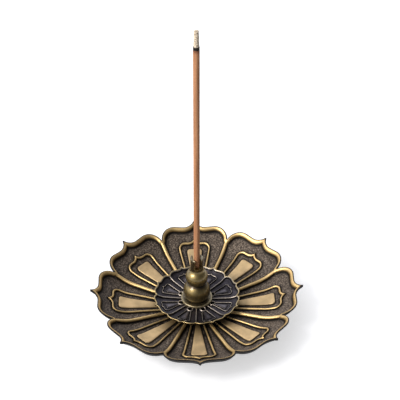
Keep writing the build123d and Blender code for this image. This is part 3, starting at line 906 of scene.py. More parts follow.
def section(radius, start, low, bend, middle, fillet, tip, high):
    """Level of a dish's floor or underside: flat hub, gentle slope and turned-up rim with a rounded bend."""
    first, second = (middle - low) / (bend - start), (high - middle) / (tip - bend)
    lean, rise = math.atan(first), math.atan(second)
    run = fillet * math.tan((rise - lean) / 2)
    near, far = bend - run * math.cos(lean), bend + run * math.cos(rise)
    centre_r = near - fillet * math.sin(lean)
    centre_z = middle - run * math.sin(lean) + fillet * math.cos(lean)
    slope = low + first * np.maximum(radius - start, 0)
    rim = middle + second * (radius - bend)
    arc = centre_z - np.sqrt(np.maximum(fillet ** 2 - (radius - centre_r) ** 2, 0))
    return np.where((radius > near) & (radius < far), arc, np.where(radius < bend, slope, rim))


def rounded(share, power):
    """Height of a rounded bead across its half width."""
    return (1 - np.clip(np.abs(share), 0, 1) ** power) ** (1 / power)


def plan_lines(dish):
    """Edge, raised line and tongue of half a petal."""
    def leaf(tip, point_length, point_half, flat, end):
        near = np.array([tip - point_length, point_half])
        point = leaving_arc(near, (0, -1), (tip, 0))[::-1]
        return np.vstack([point, leaving_arc(near + (0, flat), (0, 1), end)])

    notch = polar(dish.tip - dish.notch_depth, HALF_PETAL)
    edge = leaf(dish.tip, dish.point_length, dish.point_half, dish.flat, notch)
    side = (
        dish.rib_tip - dish.rib_point_length - dish.rib_shoulder_length,
        dish.rib_point_half + dish.rib_flat + dish.rib_shoulder_width,
    )
    rib = leaf(dish.rib_tip, dish.rib_point_length, dish.rib_point_half, dish.rib_flat, side)
    rib = np.vstack([rib, [(dish.rib_start, dish.rib_start_half)]])
    corner = np.array([dish.tongue_reach, dish.tongue_outer_half])
    begin = np.array([dish.tongue_start, dish.tongue_inner_half])
    heading = (corner - begin) / np.hypot(*(corner - begin))
    run = dish.tongue_corner / math.tan(math.acos(heading[1]) / 2)
    turn = leaving_arc(corner - heading * run, heading, corner - (0, run))
    tongue = np.vstack([[begin], turn, [(dish.tongue_reach, 0.0)]])
    return SimpleNamespace(
        edge=edge, rib=rib, tongue=tongue,
        petal_area=np.vstack([edge, [(0.0, 0.0)]]),
        rib_area=np.vstack([rib, [(dish.rib_start, 0.0)]]),
        tongue_area=np.vstack([tongue, [(dish.tongue_start, 0.0)]]),
    )


def measure(points, dish, lines):
    """How far each point lies from the edge, the ridge, the raised line, the tongue's edge and the ring."""
    edge = distance(points, lines.edge)
    ridge = np.abs(points[:, 0] * math.sin(HALF_PETAL) - points[:, 1] * math.cos(HALF_PETAL))
    rib = distance(points, lines.rib) * np.where(inside(points, lines.rib_area), 1, -1)
    tongue = distance(points, lines.tongue) * np.where(inside(points, lines.tongue_area), 1, -1)
    middle = dish.loop_radius - dish.loop_width / 2
    loop = np.hypot(points[:, 0] - dish.loop_centre, points[:, 1]) - middle
    return SimpleNamespace(edge=edge, ridge=ridge, rib=rib, tongue=tongue, loop=loop)


def ridge_half(radius, dish):
    """Half width of the bead between petals."""
    share = (radius - dish.hub) / (dish.tip - dish.hub)
    return (dish.ridge_inner + (dish.ridge_outer - dish.ridge_inner) * share) / 2


def at_tip(points, dish):
    """How far each point lies along a petal's pointed end, from 0 at its base to 1 at its tip."""
    share = np.clip((points[:, 0] - dish.tip + dish.point_length) / dish.point_length, 0, 1)
    return share * share * (3 - 2 * share)


def relief(points, dish, lines):
    """Height over the floor and the marks that the finish follows."""
    far = measure(points, dish, lines)
    radius = np.hypot(*points.T)
    across = far.edge / dish.rim_width
    smooth = at_tip(points, dish)
    lip = RIM_LIP_HEIGHT + RIM_LIP_RISE_AT_TIP * smooth
    inner = rounded((across - RIM_CREST_SHARE) / (1 - RIM_CREST_SHARE), RIM_INNER_POWER)
    outer = lip + (1 - lip) * rounded(1 - across / RIM_CREST_SHARE, RIM_OUTER_POWER)
    rim = np.where(across > 1, 0, np.where(across > RIM_CREST_SHARE, inner, outer))
    swell = 1 + RIM_SWELL_BESIDE_TIP * (1 - smooth)
    cove = COVE_HEIGHT * np.clip(1 - (across - 1) / COVE_WIDTH, 0, 1) ** 2
    ridge = rounded(far.ridge / ridge_half(radius, dish), RIDGE_POWER)
    half_rib = dish.rib_width / 2
    rib = np.where(radius >= dish.rib_start, rounded((far.rib - half_rib) / half_rib, LINE_POWER), 0)
    worn = np.sqrt(1 - (1 - np.clip(far.tongue / dish.tongue_edge, 0, 1)) ** 2)
    crown = TONGUE_EDGE_HEIGHT + TONGUE_CROWN * np.clip(far.tongue / dish.tongue_outer_half, 0, 1)
    tongue = np.where(far.tongue > 0, worn * crown, 0)
    loop, leaf, hollow = np.zeros((3, len(points)))
    if dish.loop_width:
        loop = rounded(far.loop / (dish.loop_width / 2), LINE_POWER)
        # The hole inside each ring is marked dark as painted shade with blackening
        hollow = np.clip(-2 * far.loop / dish.loop_width, 0, 1)
        line = np.clip(1 - np.abs(far.tongue / dish.tongue_edge - LEAF_EDGE_PLACE), 0, 1)
        leaf = LEAF_EDGE_RUB * line * (radius >= dish.rib_start)
    heights = [
        np.maximum(rim * swell, cove) * dish.bead,
        ridge * dish.bead,
        rib * dish.rib_height,
        tongue * dish.tongue_height,
        loop * dish.loop_height,
    ]
    # Fingers rub the crest of the rim; its outer flank and every corner keep their dirt and are darkened
    # further with painted shade
    brow = np.clip(across / RIM_CREST_SHARE, 0, 1) ** RIM_RUB_POWER
    rubbed = np.where(across > RIM_CREST_SHARE, inner, brow)
    flank_dirt_and_shade = np.clip(1.2 - 2 * across / RIM_CREST_SHARE, 0, 1)
    beside = np.min([
        np.abs(far.edge - dish.rim_width),
        np.abs(far.ridge - ridge_half(radius, dish)),
        np.abs(far.tongue),
        np.abs(far.rib),
        np.abs(far.rib - dish.rib_width),
    ], axis=0)
    crests = [
        np.where(across > 1, 0, rubbed),
        ridge * (across > RIM_CREST_SHARE),
        rib,
        np.minimum(RING_RUB * loop, 1),
        leaf,
    ]
    return SimpleNamespace(
        height=np.max(heights, axis=0),
        crest=np.max(crests, axis=0),
        rim=np.clip((RIM_BARE_REACH - across) / RIM_BARE_FADE, 0, 1),
        tongue=np.clip(far.tongue / dish.tongue_fade, 0, 1),
        reach=radius / dish.tip,
        groove=np.max([np.exp(-beside / (dish.rim_width * DIRT_AND_SHADE_WIDTH)), flank_dirt_and_shade, hollow], axis=0),
    )


# Meshes

def marked_mesh(name, places, faces, marks, rows):
    """A mesh whose points carry the marks that its finish follows, one row of values for each point."""
    mesh = bpy.data.meshes.new(name)
    mesh.from_pydata(places, [], faces)
    for place, mark in enumerate(marks):
        layer = mesh.attributes.new(mark, "FLOAT", "POINT")
        layer.data.foreach_set("value", np.array([row[place] for row in rows], np.float32))
    return mesh


def crossings(place, span, dish, lines, step):
    """Shares of a border line at which rows of points meet it, with even ones between."""
    dense = np.linspace(0, 1, CROSSING_SAMPLES)
    far = measure(place(dense), dish, lines)
    rows = [
        (far.edge, np.array(RIM_ROW_SHARES) * dish.rim_width),
        (far.rib, np.array(RIB_ROW_SHARES) * dish.rib_width),
        (far.tongue, np.array(TONGUE_ROW_SHARES) * dish.tongue_edge),
        (far.loop, np.array(RING_ROW_SHARES) * dish.loop_width / 2),
    ]
    found = [0.0, 1.0]
    for values, levels in rows:
        for level in levels:
            turn = np.flatnonzero(np.diff(np.sign(values - level)))
            found += list(dense[turn])
    kept = []
    for share in sorted(found):
        if not kept or (share - kept[-1]) * span > POINT_GAP:
            kept.append(share)
    kept[-1] = 1.0
    filled = []
    for low, high in zip(kept, kept[1:]):
        count = max(1, math.ceil((high - low) * span / step))
        filled += list(np.linspace(low, high, count + 1)[:-1])
    return np.array(filled + [1.0])


def sprinkle(known, fresh, gap):
    """Which fresh points keep a gap from those already laid."""
    tree = KDTree(len(known))
    for number, point in enumerate(known):
        tree.insert((point[0], point[1], 0.0), number)
    tree.balance()
    return np.array([tree.find((p[0], p[1], 0.0))[2] > gap for p in fresh], bool)


def honeycomb(dish, lines, start, spacing, margin):
    """Even fill of points between a radius and the petal's edge."""
    along, aside = np.arange(0, dish.tip, spacing), np.arange(0, dish.tip * 0.5, spacing * HONEYCOMB_ROW)
    u, v = np.meshgrid(along, aside)
    u[1::2] += spacing / 2
    points = np.column_stack([u.ravel(), v.ravel()])
    radius = np.hypot(*points.T)
    ray = points[:, 0] * math.sin(HALF_PETAL) - points[:, 1] * math.cos(HALF_PETAL)
    points = points[(radius > start + margin) & (ray > margin) & (points[:, 1] > margin)]
    points = points[inside(points, lines.petal_area)]
    return points[distance(points, lines.edge) > margin]


def triangles(points, edges):
    """Triangles that fill the closed border and keep the given edges."""
    made = delaunay_2d_cdt([Vector(p) for p in points], edges, [], 1, 1e-6)
    exact = [points[given[0]] if given else tuple(place) for place, given in zip(made[0], made[3])]
    return np.array(exact), [tuple(face) for face in made[2]]


def petal_top(dish, lines, edge, middle, ray, hub):
    """Upper face of half a petal: rows of points follow every raised line, with an even fill between."""
    border = np.vstack([edge[:-1], ray[:-1], hub[:-1], middle[:-1]])
    count = len(border)
    points = [tuple(p) for p in border]
    edges = [(k, (k + 1) % count) for k in range(count)]

    def lay(row, wanted):
        far = measure(row, dish, lines)
        radius = np.hypot(*row.T)
        keep = (row[:, 1] > BORDER_GAP) & (far.ridge > BORDER_GAP) & (radius > dish.hub + BORDER_GAP)
        keep &= inside(row, lines.petal_area) & (far.edge > EDGE_GAP)
        keep &= wanted(row, far)
        keep &= sprinkle(points, row, POINT_GAP)
        last = None
        for number, point in enumerate(row):
            if keep[number]:
                points.append(tuple(point))
                if last is not None:
                    edges.append((last, len(points) - 1))
            last = len(points) - 1 if keep[number] else None

    along = stations(lines.edge, dish.step)
    normal = left_of(along)
    for share in RIM_ROW_SHARES:
        gap = share * dish.rim_width
        lay(along + normal * gap, lambda row, far: (np.abs(far.edge - gap) < ROW_DRIFT) & (
            far.edge / dish.rim_width < far.ridge / ridge_half(np.hypot(*row.T), dish) * 0.5 + 0.5))
    notch = dish.tip - dish.notch_depth
    reaches = np.linspace(dish.hub, notch, math.ceil((notch - dish.hub) / dish.step / RIDGE_STEP))
    inward = polar(1, HALF_PETAL - math.pi / 2)
    for share in RIDGE_ROW_SHARES:
        row = np.array([polar(r, HALF_PETAL) + inward * ridge_half(r, dish) * share for r in reaches])
        lay(row, lambda row, far: far.edge > dish.rim_width * 0.55)
    along = stations(lines.rib, dish.step)
    normal = left_of(along)
    for share in RIB_ROW_SHARES:
        gap = share * dish.rib_width
        lay(along + normal * gap, lambda row, far: np.abs(far.rib - gap) < ROW_DRIFT)
    along = stations(lines.tongue, dish.step)
    normal = -left_of(along)
    for share in TONGUE_ROW_SHARES:
        gap = share * dish.tongue_edge
        lay(along + normal * gap, lambda row, far: np.abs(far.tongue - gap) < ROW_DRIFT)
    if dish.loop_width:
        around = np.linspace(0, math.pi, RING_POINTS)
        for share in RING_ROW_SHARES:
            wide = dish.loop_radius - dish.loop_width / 2 * (1 - share)
            row = np.column_stack([dish.loop_centre + wide * np.cos(around), wide * np.sin(around)])
            lay(row, lambda row, far: far.edge > 0)
    fill = honeycomb(dish, lines, dish.hub, dish.fill, dish.fill * FILL_MARGIN)
    points += [tuple(p) for p in fill[sprinkle(points, fill, dish.fill * FILL_GAP)]]
    return triangles(points, edges)


def petal_under(dish, lines, edge, start, angles):
    """Underside of half a petal, outside the foot, with rows of points where it rises to the thin edge."""
    spacing = dish.fill * UNDER_FILL
    notch = dish.tip - dish.notch_depth
    reach = np.linspace(dish.tip, start, math.ceil((dish.tip - start) / spacing))
    inwards = np.linspace(notch, start, math.ceil((notch - start) / spacing))
    ray = np.array([polar(r, HALF_PETAL) for r in inwards])
    foot = np.array([polar(start, angle) for angle in angles[::-1]])
    middle = np.column_stack([reach, np.zeros(len(reach))])[::-1]
    border = np.vstack([edge[:-1], ray[:-1], foot[:-1], middle[:-1]])
    count = len(border)
    points = [tuple(p) for p in border]
    along = stations(lines.edge, dish.step)
    for share in UNDER_ROW_SHARES:
        row = along + left_of(along) * dish.rim_width * share
        far = measure(row, dish, lines)
        keep = np.abs(far.edge - dish.rim_width * share) < ROW_DRIFT
        keep &= (row[:, 1] > UNDER_BORDER_GAP) & (far.ridge > UNDER_BORDER_GAP)
        points += [tuple(p) for p in row[keep]]
    fill = honeycomb(dish, lines, start, spacing, dish.rim_width * 0.9)
    points += [tuple(p) for p in fill[sprinkle(points, fill, dish.fill * UNDER_FILL_GAP)]]
    return triangles(points, [(k, (k + 1) % count) for k in range(count)])


def half_petal_mesh(name, dish, foot, under_start, seat):
    """Half a petal with its share of hub and foot as one open shell, ready to be mirrored and repeated."""
    lines = plan_lines(dish)
    start = getattr(dish, "floor_start", dish.hub)
    edge = stations(lines.edge, dish.step)
    notch = dish.tip - dish.notch_depth

    def on_middle(share):
        return np.column_stack([dish.hub + (dish.tip - dish.hub) * share, 0 * share])

    def on_ray(share):
        radius = dish.hub + (notch - dish.hub) * share
        return np.column_stack([radius * math.cos(HALF_PETAL), radius * math.sin(HALF_PETAL)])

    def on_hub(share):
        return dish.hub * np.column_stack([np.cos(HALF_PETAL * share), np.sin(HALF_PETAL * share)])

    middle = on_middle(crossings(on_middle, dish.tip - dish.hub, dish, lines, dish.fill * MIDDLE_STEP))
    ray_share = crossings(on_ray, notch - dish.hub, dish, lines, dish.fill)
    hub_share = crossings(on_hub, dish.hub * HALF_PETAL, dish, lines, dish.fill * HUB_STEP)
    angles = hub_share * HALF_PETAL
    ray = np.array([polar(dish.hub + (notch - dish.hub) * t, HALF_PETAL) for t in ray_share[::-1]])
    hub = np.array([polar(dish.hub, angle) for angle in angles[::-1]])
    edge[-1], edge[0] = ray[0], middle[-1]

    def floor(points):
        return section(
            np.hypot(*points.T), start, dish.hub_floor, dish.bend, dish.bend_floor, dish.bend_fillet,
            dish.tip, dish.tip_floor,
        )

    def under(points):
        # The underside rises under the rim bead and the wall thins over the last rim widths
        gap = distance(points, lines.edge) / dish.rim_width
        drop = 1 - UNDER_DROP_AT_TIP * at_tip(points, dish)
        thin = dish.bead * np.clip(1 - gap / UNDER_RISE_WIDTH, 0, 1) * drop
        wall = (dish.tip_floor - dish.tip_under) * WALL_THINNING * np.clip(1.5 - gap / 2, 0, 1)
        return thin + wall + section(
            np.hypot(*points.T), start, dish.hub_under, dish.bend, dish.bend_under, dish.bend_fillet,
            dish.tip, dish.tip_under,
        )

    numbers, places, marks, faces = {}, [], [], []

    def vertex(u, v, z, crest=0.0, rim=0.0, tongue=0.0, reach=0.0, top=0.0, groove=0.0):
        key = (round(u, 4), round(v, 4), round(z, 4))
        if key not in numbers:
            numbers[key] = len(places)
            places.append((u * MM, v * MM, z * MM))
            marks.append((crest, rim, tongue, reach, top, groove))
        return numbers[key]

    def face(*corners):
        kept = [c for k, c in enumerate(corners) if c != corners[k - 1]]
        if len(set(kept)) > 2:
            faces.append(kept)

    def top_vertices(points):
        form = relief(points, dish, lines)
        level = floor(points) + form.height
        rows = zip(points, level, form.crest, form.rim, form.tongue, form.reach, form.groove)
        return [
            vertex(u, v, z, crest, rim, tongue, reach, 1.0, groove)
            for (u, v), z, crest, rim, tongue, reach, groove in rows
        ]

    points, cells = petal_top(dish, lines, edge, middle, ray, hub)
    upper = top_vertices(points)
    for cell in cells:
        face(*[upper[k] for k in cell])
    points_under, cells = petal_under(dish, lines, edge, under_start, angles)
    level = under(points_under)
    # The underside near the edge is marked dark as painted shade with blackening
    shade = np.clip(2 - distance(points_under, lines.edge) / dish.rim_width, 0, 1)
    lower = [vertex(p[0], p[1], level[k], groove=shade[k]) for k, p in enumerate(points_under)]
    for cell in cells:
        face(*[lower[k] for k in cell[::-1]])
    brim = top_vertices(edge)
    # The outer wall is marked fully dark as painted shade with blackening
    brink = [vertex(p[0], p[1], z, groove=1.0) for p, z in zip(edge, under(edge))]
    for k in range(len(edge) - 1):
        face(brim[k], brink[k], brink[k + 1], brim[k + 1])
    begin = np.array([polar(under_start, angle) for angle in angles])
    rings = [[vertex(*p, z) for p, z in zip(begin, under(begin))]]
    rings += [[vertex(*polar(r, angle), z) for angle in angles] for r, z in foot]
    rings.append([vertex(*polar(dish.hub, angle), seat) for angle in angles])
    rings.append(top_vertices(hub[::-1]))
    for low, high in zip(rings, rings[1:]):
        for k in range(len(angles) - 1):
            face(low[k], high[k], high[k + 1], low[k + 1])
    return marked_mesh(name, places, faces, DISH_MARKS, marks)


def petals_tree():
    """Geometry nodes that mirror half a petal, repeat it round the axis, weld it and give it its finish."""
    tree = bpy.data.node_groups.new("Petals round the axis", "GeometryNodeTree")
    for name, kind in (
        ("Half petal", "NodeSocketGeometry"), ("Petals", "NodeSocketInt"), ("Turn", "NodeSocketFloat"),
        ("Weld", "NodeSocketFloat"), ("Finish", "NodeSocketMaterial"),
    ):
        tree.interface.new_socket(name=name, in_out="INPUT", socket_type=kind)
    tree.interface.new_socket(name="Dish", in_out="OUTPUT", socket_type="NodeSocketGeometry")
    given = add_node(tree, "NodeGroupInput").outputs
    turned = add_node(
        tree, "GeometryNodeTransform", None, {"Geometry": given["Half petal"], "Scale": (1.0, -1.0, 1.0)},
    ).outputs["Geometry"]
    other = add_node(tree, "GeometryNodeFlipFaces", None, {"Mesh": turned}).outputs["Mesh"]
    petal = add_node(
        tree, "GeometryNodeJoinGeometry", None, {"Geometry": [given["Half petal"], other]},
    ).outputs[0]
    spots = add_node(tree, "GeometryNodePoints", None, {"Count": given["Petals"]}).outputs[0]
    place = add_node(tree, "GeometryNodeInputIndex").outputs["Index"]
    slice_angle = add_node(
        tree, "ShaderNodeMath", {"operation": "DIVIDE"}, {0: math.tau, 1: given["Petals"]},
    ).outputs[0]
    angle = add_node(
        tree, "ShaderNodeMath", {"operation": "MULTIPLY_ADD"}, {0: place, 1: slice_angle, 2: given["Turn"]},
    ).outputs[0]
    spin = add_node(
        tree, "FunctionNodeAxisAngleToRotation", None, {"Axis": (0.0, 0.0, 1.0), "Angle": angle},
    ).outputs["Rotation"]
    copies = add_node(
        tree, "GeometryNodeInstanceOnPoints", None, {"Points": spots, "Instance": petal, "Rotation": spin},
    ).outputs["Instances"]
    real = add_node(tree, "GeometryNodeRealizeInstances", None, {"Geometry": copies}).outputs["Geometry"]
    welded = add_node(
        tree, "GeometryNodeMergeByDistance", None, {"Geometry": real, "Distance": given["Weld"]},
    ).outputs["Geometry"]
    finished = add_node(
        tree, "GeometryNodeSetMaterial", None, {"Geometry": welded, "Material": given["Finish"]},
    ).outputs["Geometry"]
    add_node(tree, "NodeGroupOutput", None, {"Dish": finished})
    return tree


def settle(piece):
    """Turns a piece's modifiers into a plain mesh."""
    bpy.context.view_layer.update()
    depsgraph = bpy.context.evaluated_depsgraph_get()
    made = bpy.data.meshes.new_from_object(
        piece.evaluated_get(depsgraph), preserve_all_data_layers=True, depsgraph=depsgraph)
    piece.modifiers.clear()
    old, piece.data = piece.data, made
    bpy.data.meshes.remove(old)


def close(piece, sharp_degrees):
    """Welds a closed mesh, points its faces outwards and shades it smooth up to an angle."""
    made = bmesh.new()
    made.from_mesh(piece.data)
    bmesh.ops.remove_doubles(made, verts=made.verts, dist=CLOSING_WELD)
    bmesh.ops.recalc_face_normals(made, faces=made.faces)
    open_edges = sum(len(e.link_faces) != 2 for e in made.edges)
    made.to_mesh(piece.data)
    made.free()
    if open_edges:
        raise RuntimeError(f"{piece.name} has {open_edges} open edges")
    piece.data.shade_smooth()
    piece.data.set_sharp_from_angle(angle=math.radians(sharp_degrees))


def show(name, mesh):
    """Adds a mesh to the scene as a piece at the origin."""
    piece = bpy.data.objects.new(name, mesh)
    bpy.context.scene.collection.objects.link(piece)
    return piece


def dress(piece, body, slot, *nodes):
    """Lets a piece ride on its body and stand for its CAD nodes."""
    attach(piece, body)
    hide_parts(*nodes)


def repeat_petals(piece, turn, finish):
    """Runs the petal nodes on a half-petal piece and keeps the result."""
    tree = petals_tree()
    modifier = piece.modifiers.new("Petals", "NODES")
    modifier.node_group = tree
    values = {"Petals": PETALS, "Turn": turn, "Weld": PETAL_WELD, "Finish": finish}
    for item in tree.interface.items_tree:
        if item.in_out == "INPUT" and item.name in values:
            modifier[item.identifier] = values[item.name]
    settle(piece)
    bpy.data.node_groups.remove(tree)


def lathe_mesh(name, profile, segments, marks):
    """Closed turned shape from a profile whose ends lie on the axis, with a mark for each profile point."""
    places, values, rings, faces = [], [], [], []
    for number, (r, z) in enumerate(profile):
        count = 1 if r < 1e-9 else segments
        rings.append(list(range(len(places), len(places) + count)))
        for k in range(count):
            angle = math.tau * k / segments
            places.append((r * math.cos(angle) * MM, r * math.sin(angle) * MM, z * MM))
            values.append([mark[number] for mark in marks.values()])
    for low, high in zip(rings, rings[1:]):
        for k in range(segments):
            after = (k + 1) % segments
            corners = [low[k % len(low)], low[after % len(low)], high[after % len(high)], high[k % len(high)]]
            kept = [c for j, c in enumerate(corners) if c != corners[j - 1]]
            if len(kept) > 2:
                faces.append(kept)
    return marked_mesh(name, places, faces, marks, values)


def gourd_profile(gourd, seat, top):
    """Section of the gourd from the end of its tapped hole round the outside to the end of its bore."""
    def arc(r, z, radius, start, end, count):
        angles = np.linspace(start, end, count)
        return [(r + radius * math.cos(a), z + radius * math.sin(a)) for a in angles]

    lower = seat + gourd.lower_rise
    upper = lower + gourd.spacing
    ledge = seat + gourd.flange_thickness
    foot = math.asin((ledge - lower) / gourd.lower_radius)
    waist = (gourd.spacing ** 2 + gourd.lower_radius ** 2 - gourd.upper_radius ** 2) / (2 * gourd.spacing)
    brow = math.asin(waist / gourd.lower_radius)
    chin = math.asin((waist - gourd.spacing) / gourd.upper_radius)
    hollow_r = gourd.neck_radius + gourd.neck_fillet
    hollow_z = upper + math.sqrt((gourd.upper_radius + gourd.neck_fillet) ** 2 - hollow_r ** 2)
    shoulder = math.atan2(hollow_z - upper, hollow_r)
    edge, lip = gourd.flange_edge, gourd.mouth_lip * LIP_ROUNDING
    mouth = gourd.neck_radius - gourd.mouth_lip
    profile = [(0.0, seat + gourd.tapped_depth), (gourd.tapped_radius, seat + gourd.tapped_depth)]
    profile += [(gourd.tapped_radius, seat), (gourd.flange_radius - edge * FLANGE_FOOT_ROUNDING, seat)]
    profile += [(gourd.flange_radius, seat + edge * FLANGE_FOOT_ROUNDING)]
    profile += arc(gourd.flange_radius - edge, ledge - edge, edge, 0, math.pi / 2, 6)
    profile += [(gourd.flange_radius * 0.85, ledge)]
    profile += arc(0.0, lower, gourd.lower_radius, foot, brow, 44)
    profile += arc(0.0, upper, gourd.upper_radius, chin, shoulder, 40)[1:]
    profile += arc(hollow_r, hollow_z, gourd.neck_fillet, math.pi + shoulder, math.pi, 12)[1:]
    profile += [(gourd.neck_radius, z) for z in np.linspace(hollow_z, top - lip, 6)[1:-1]]
    profile += arc(gourd.neck_radius - lip, top - lip, lip, 0, math.pi / 2, 6)
    profile += [(mouth, top), (gourd.bore_radius, top - gourd.funnel_depth)]
    profile += [(gourd.bore_radius, top - gourd.bore_depth), (0.0, top - gourd.bore_depth)]
    creases = [ledge, lower + waist]
    hollow, bare = [], []
    for r, z in profile:
        in_bore = r <= gourd.bore_radius + TOUCH
        on_flange = z <= ledge + TOUCH and r > gourd.tapped_radius + TOUCH
        on_rim = on_flange and r > gourd.flange_radius - edge * 1.5
        on_lip = z > top - lip * 1.2 and r > mouth - TOUCH
        deep = 0.0
        if z > seat + TOUCH and not in_bore and r < gourd.flange_radius * 0.9:
            deep = max(math.exp(-abs(z - level) / CREASE_TARNISH_WIDTH) for level in creases)
        # Painted shade darkens the neck nearly as much as the bore, which is marked dark as painted shade
        neck = NECK_SHADE * min(max((z - hollow_z) / (gourd.neck_fillet * NECK_FADE) + 1, 0.0), 1.0)
        hollow.append(max(deep, neck, float(in_bore)))
        bare.append(1.0 if on_rim or on_lip else FLANGE_BARE * on_flange)
    return profile, {"hollow": hollow, "bare": bare}


def rod_mesh(name, low, high, radius, rod):
    """Closed rod with an uneven skin that never leaves its given size."""
    places, faces, grid = [], [], []
    shift = Vector((rod.seed, rod.seed * 2.0, 0.0))
    for number, z in enumerate(np.linspace(low, high, rod.rings)):
        share = number / (rod.rings - 1)
        wide = radius + (radius * rod.taper - radius) * share
        near_end = min(share, 1 - share) * (rod.rings - 1)
        pull = rod.end_round * max(0.0, 1 - near_end / 2) ** 2
        row = []
        for k in range(rod.segments):
            angle = math.tau * k / rod.segments
            at = Vector((math.cos(angle) * wide, math.sin(angle) * wide, z * rod.squash))
            dip = 0.5 + 0.5 * noise.fractal(at * LUMPS_PER_MM + shift, *LUMP_NOISE)
            r = wide - pull - rod.waver * min(max(dip, 0.0), 1.0)
            row.append(len(places))
            places.append((r * math.cos(angle) * MM, r * math.sin(angle) * MM, z * MM))
        grid.append(row)
    for lower, upper in zip(grid, grid[1:]):
        for k in range(rod.segments):
            after = (k + 1) % rod.segments
            faces.append((lower[k], lower[after], upper[after], upper[k]))
    for row, z in ((grid[0], low), (grid[-1], high)):
        hub = len(places)
        places.append((0.0, 0.0, z * MM))
        for k in range(rod.segments):
            faces.append((row[k], row[(k + 1) % rod.segments], hub))
    mesh = bpy.data.meshes.new(name)
    mesh.from_pydata(places, [], faces)
    return mesh


def looking(place, target):
    """Matrix of a lamp or camera that stands at a place and looks at a target."""
    way = Vector(target) - Vector(place)
    return Matrix.Translation(place) @ way.to_track_quat("-Z", "Y").to_matrix().to_4x4()


# Operators

class MakeOuterDish(bpy.types.Operator):
    """Makes the large lotus dish with rounded beads, raised lines and polished tongues"""

    bl_idname = "incense_holder.outer_dish"
    bl_label = "Large dish"

    def execute(self, context):
        settings = context.scene.incense_outer
        dish = in_mm(settings)
        inner, edge = dish.foot_radius - dish.foot_width, dish.foot_edge
        seat = dish.hub_floor + dish.bead
        slope = (dish.bend_under - dish.hub_under) / (dish.bend - dish.hub)
        foot = [
            (dish.foot_radius, edge), (dish.foot_radius - edge, 0.0), (inner + edge, 0.0), (inner, edge),
            (inner, dish.hub_under + slope * (inner - dish.hub)), (dish.hub, dish.hub_under),
            (dish.well_radius, dish.hub_under), (dish.well_radius, dish.well_roof),
            (dish.hole_radius, dish.well_roof), (dish.hole_radius, seat),
        ]
        mesh = half_petal_mesh("outer_dish_cast", dish, foot, dish.foot_radius, seat)
        piece = show("outer_dish_cast", mesh)
        repeat_petals(piece, 0.0, antique_cast_brass(settings))
        close(piece, CAST_SHARP)
        dress(piece, "dish", "antique_brass", "outer_dish")
        return {"FINISHED"}


class MakeInnerDish(bpy.types.Operator):
    """Makes the small lotus dish with its raised lines and the rings at its petals' bases"""

    bl_idname = "incense_holder.inner_dish"
    bl_label = "Small dish"

    def execute(self, context):
        settings = context.scene.incense_inner
        dish = in_mm(settings)
        seat = dish.hub_floor + dish.bead
        edge = dish.boss_edge
        foot = [
            (dish.boss_radius, dish.boss_foot + edge), (dish.boss_radius - edge, dish.boss_foot),
            (dish.hole_radius, dish.boss_foot), (dish.hole_radius, seat),
        ]
        mesh = half_petal_mesh("inner_dish_cast", dish, foot, dish.boss_radius, seat)
        piece = show("inner_dish_cast", mesh)
        repeat_petals(piece, settings.turn, blue_black_patina_brass(settings))
        close(piece, CAST_SHARP)
        dress(piece, "dish", "dark_patina_brass", "inner_dish")
        return {"FINISHED"}


class MakeGourd(bpy.types.Operator):
    """Makes the turned gourd and saws its neck into two prongs"""

    bl_idname = "incense_holder.gourd"
    bl_label = "Gourd post"

    def execute(self, context):
        settings = context.scene.incense_gourd
        gourd = in_mm(settings)
        low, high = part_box("gourd_holder")
        seat, top = low.z / MM, high.z / MM
        profile, marks = gourd_profile(gourd, seat, top)
        piece = show("gourd_turned", lathe_mesh("gourd_turned", profile, GOURD_SEGMENTS, marks))
        close(piece, TURNED_SHARP)
        saw = bmesh.new()
        bmesh.ops.create_cube(saw, size=1.0)
        sides = (gourd.slot_width * MM, gourd.neck_radius * 4 * MM, gourd.slot_depth * 2 * MM, 1.0)
        size = Matrix.Diagonal(sides)
        turn = Matrix.Rotation(settings.slot_turn, 4, "Z")
        saw.transform(Matrix.Translation((0, 0, top * MM)) @ turn @ size)
        blade = bpy.data.meshes.new("saw_blade")
        saw.to_mesh(blade)
        saw.free()
        cutter = show("saw_blade", blade)
        cut = piece.modifiers.new("Saw cut", "BOOLEAN")
        cut.operation = "DIFFERENCE"
        cut.solver = "EXACT"
        cut.object = cutter
        settle(piece)
        bpy.data.objects.remove(cutter)
        bpy.data.meshes.remove(blade)
        piece.data.materials.clear()
        piece.data.materials.append(turned_olive_brass(settings))
        close(piece, TURNED_SHARP)
        dress(piece, "gourd", "polished_brass", "gourd_holder")
        return {"FINISHED"}


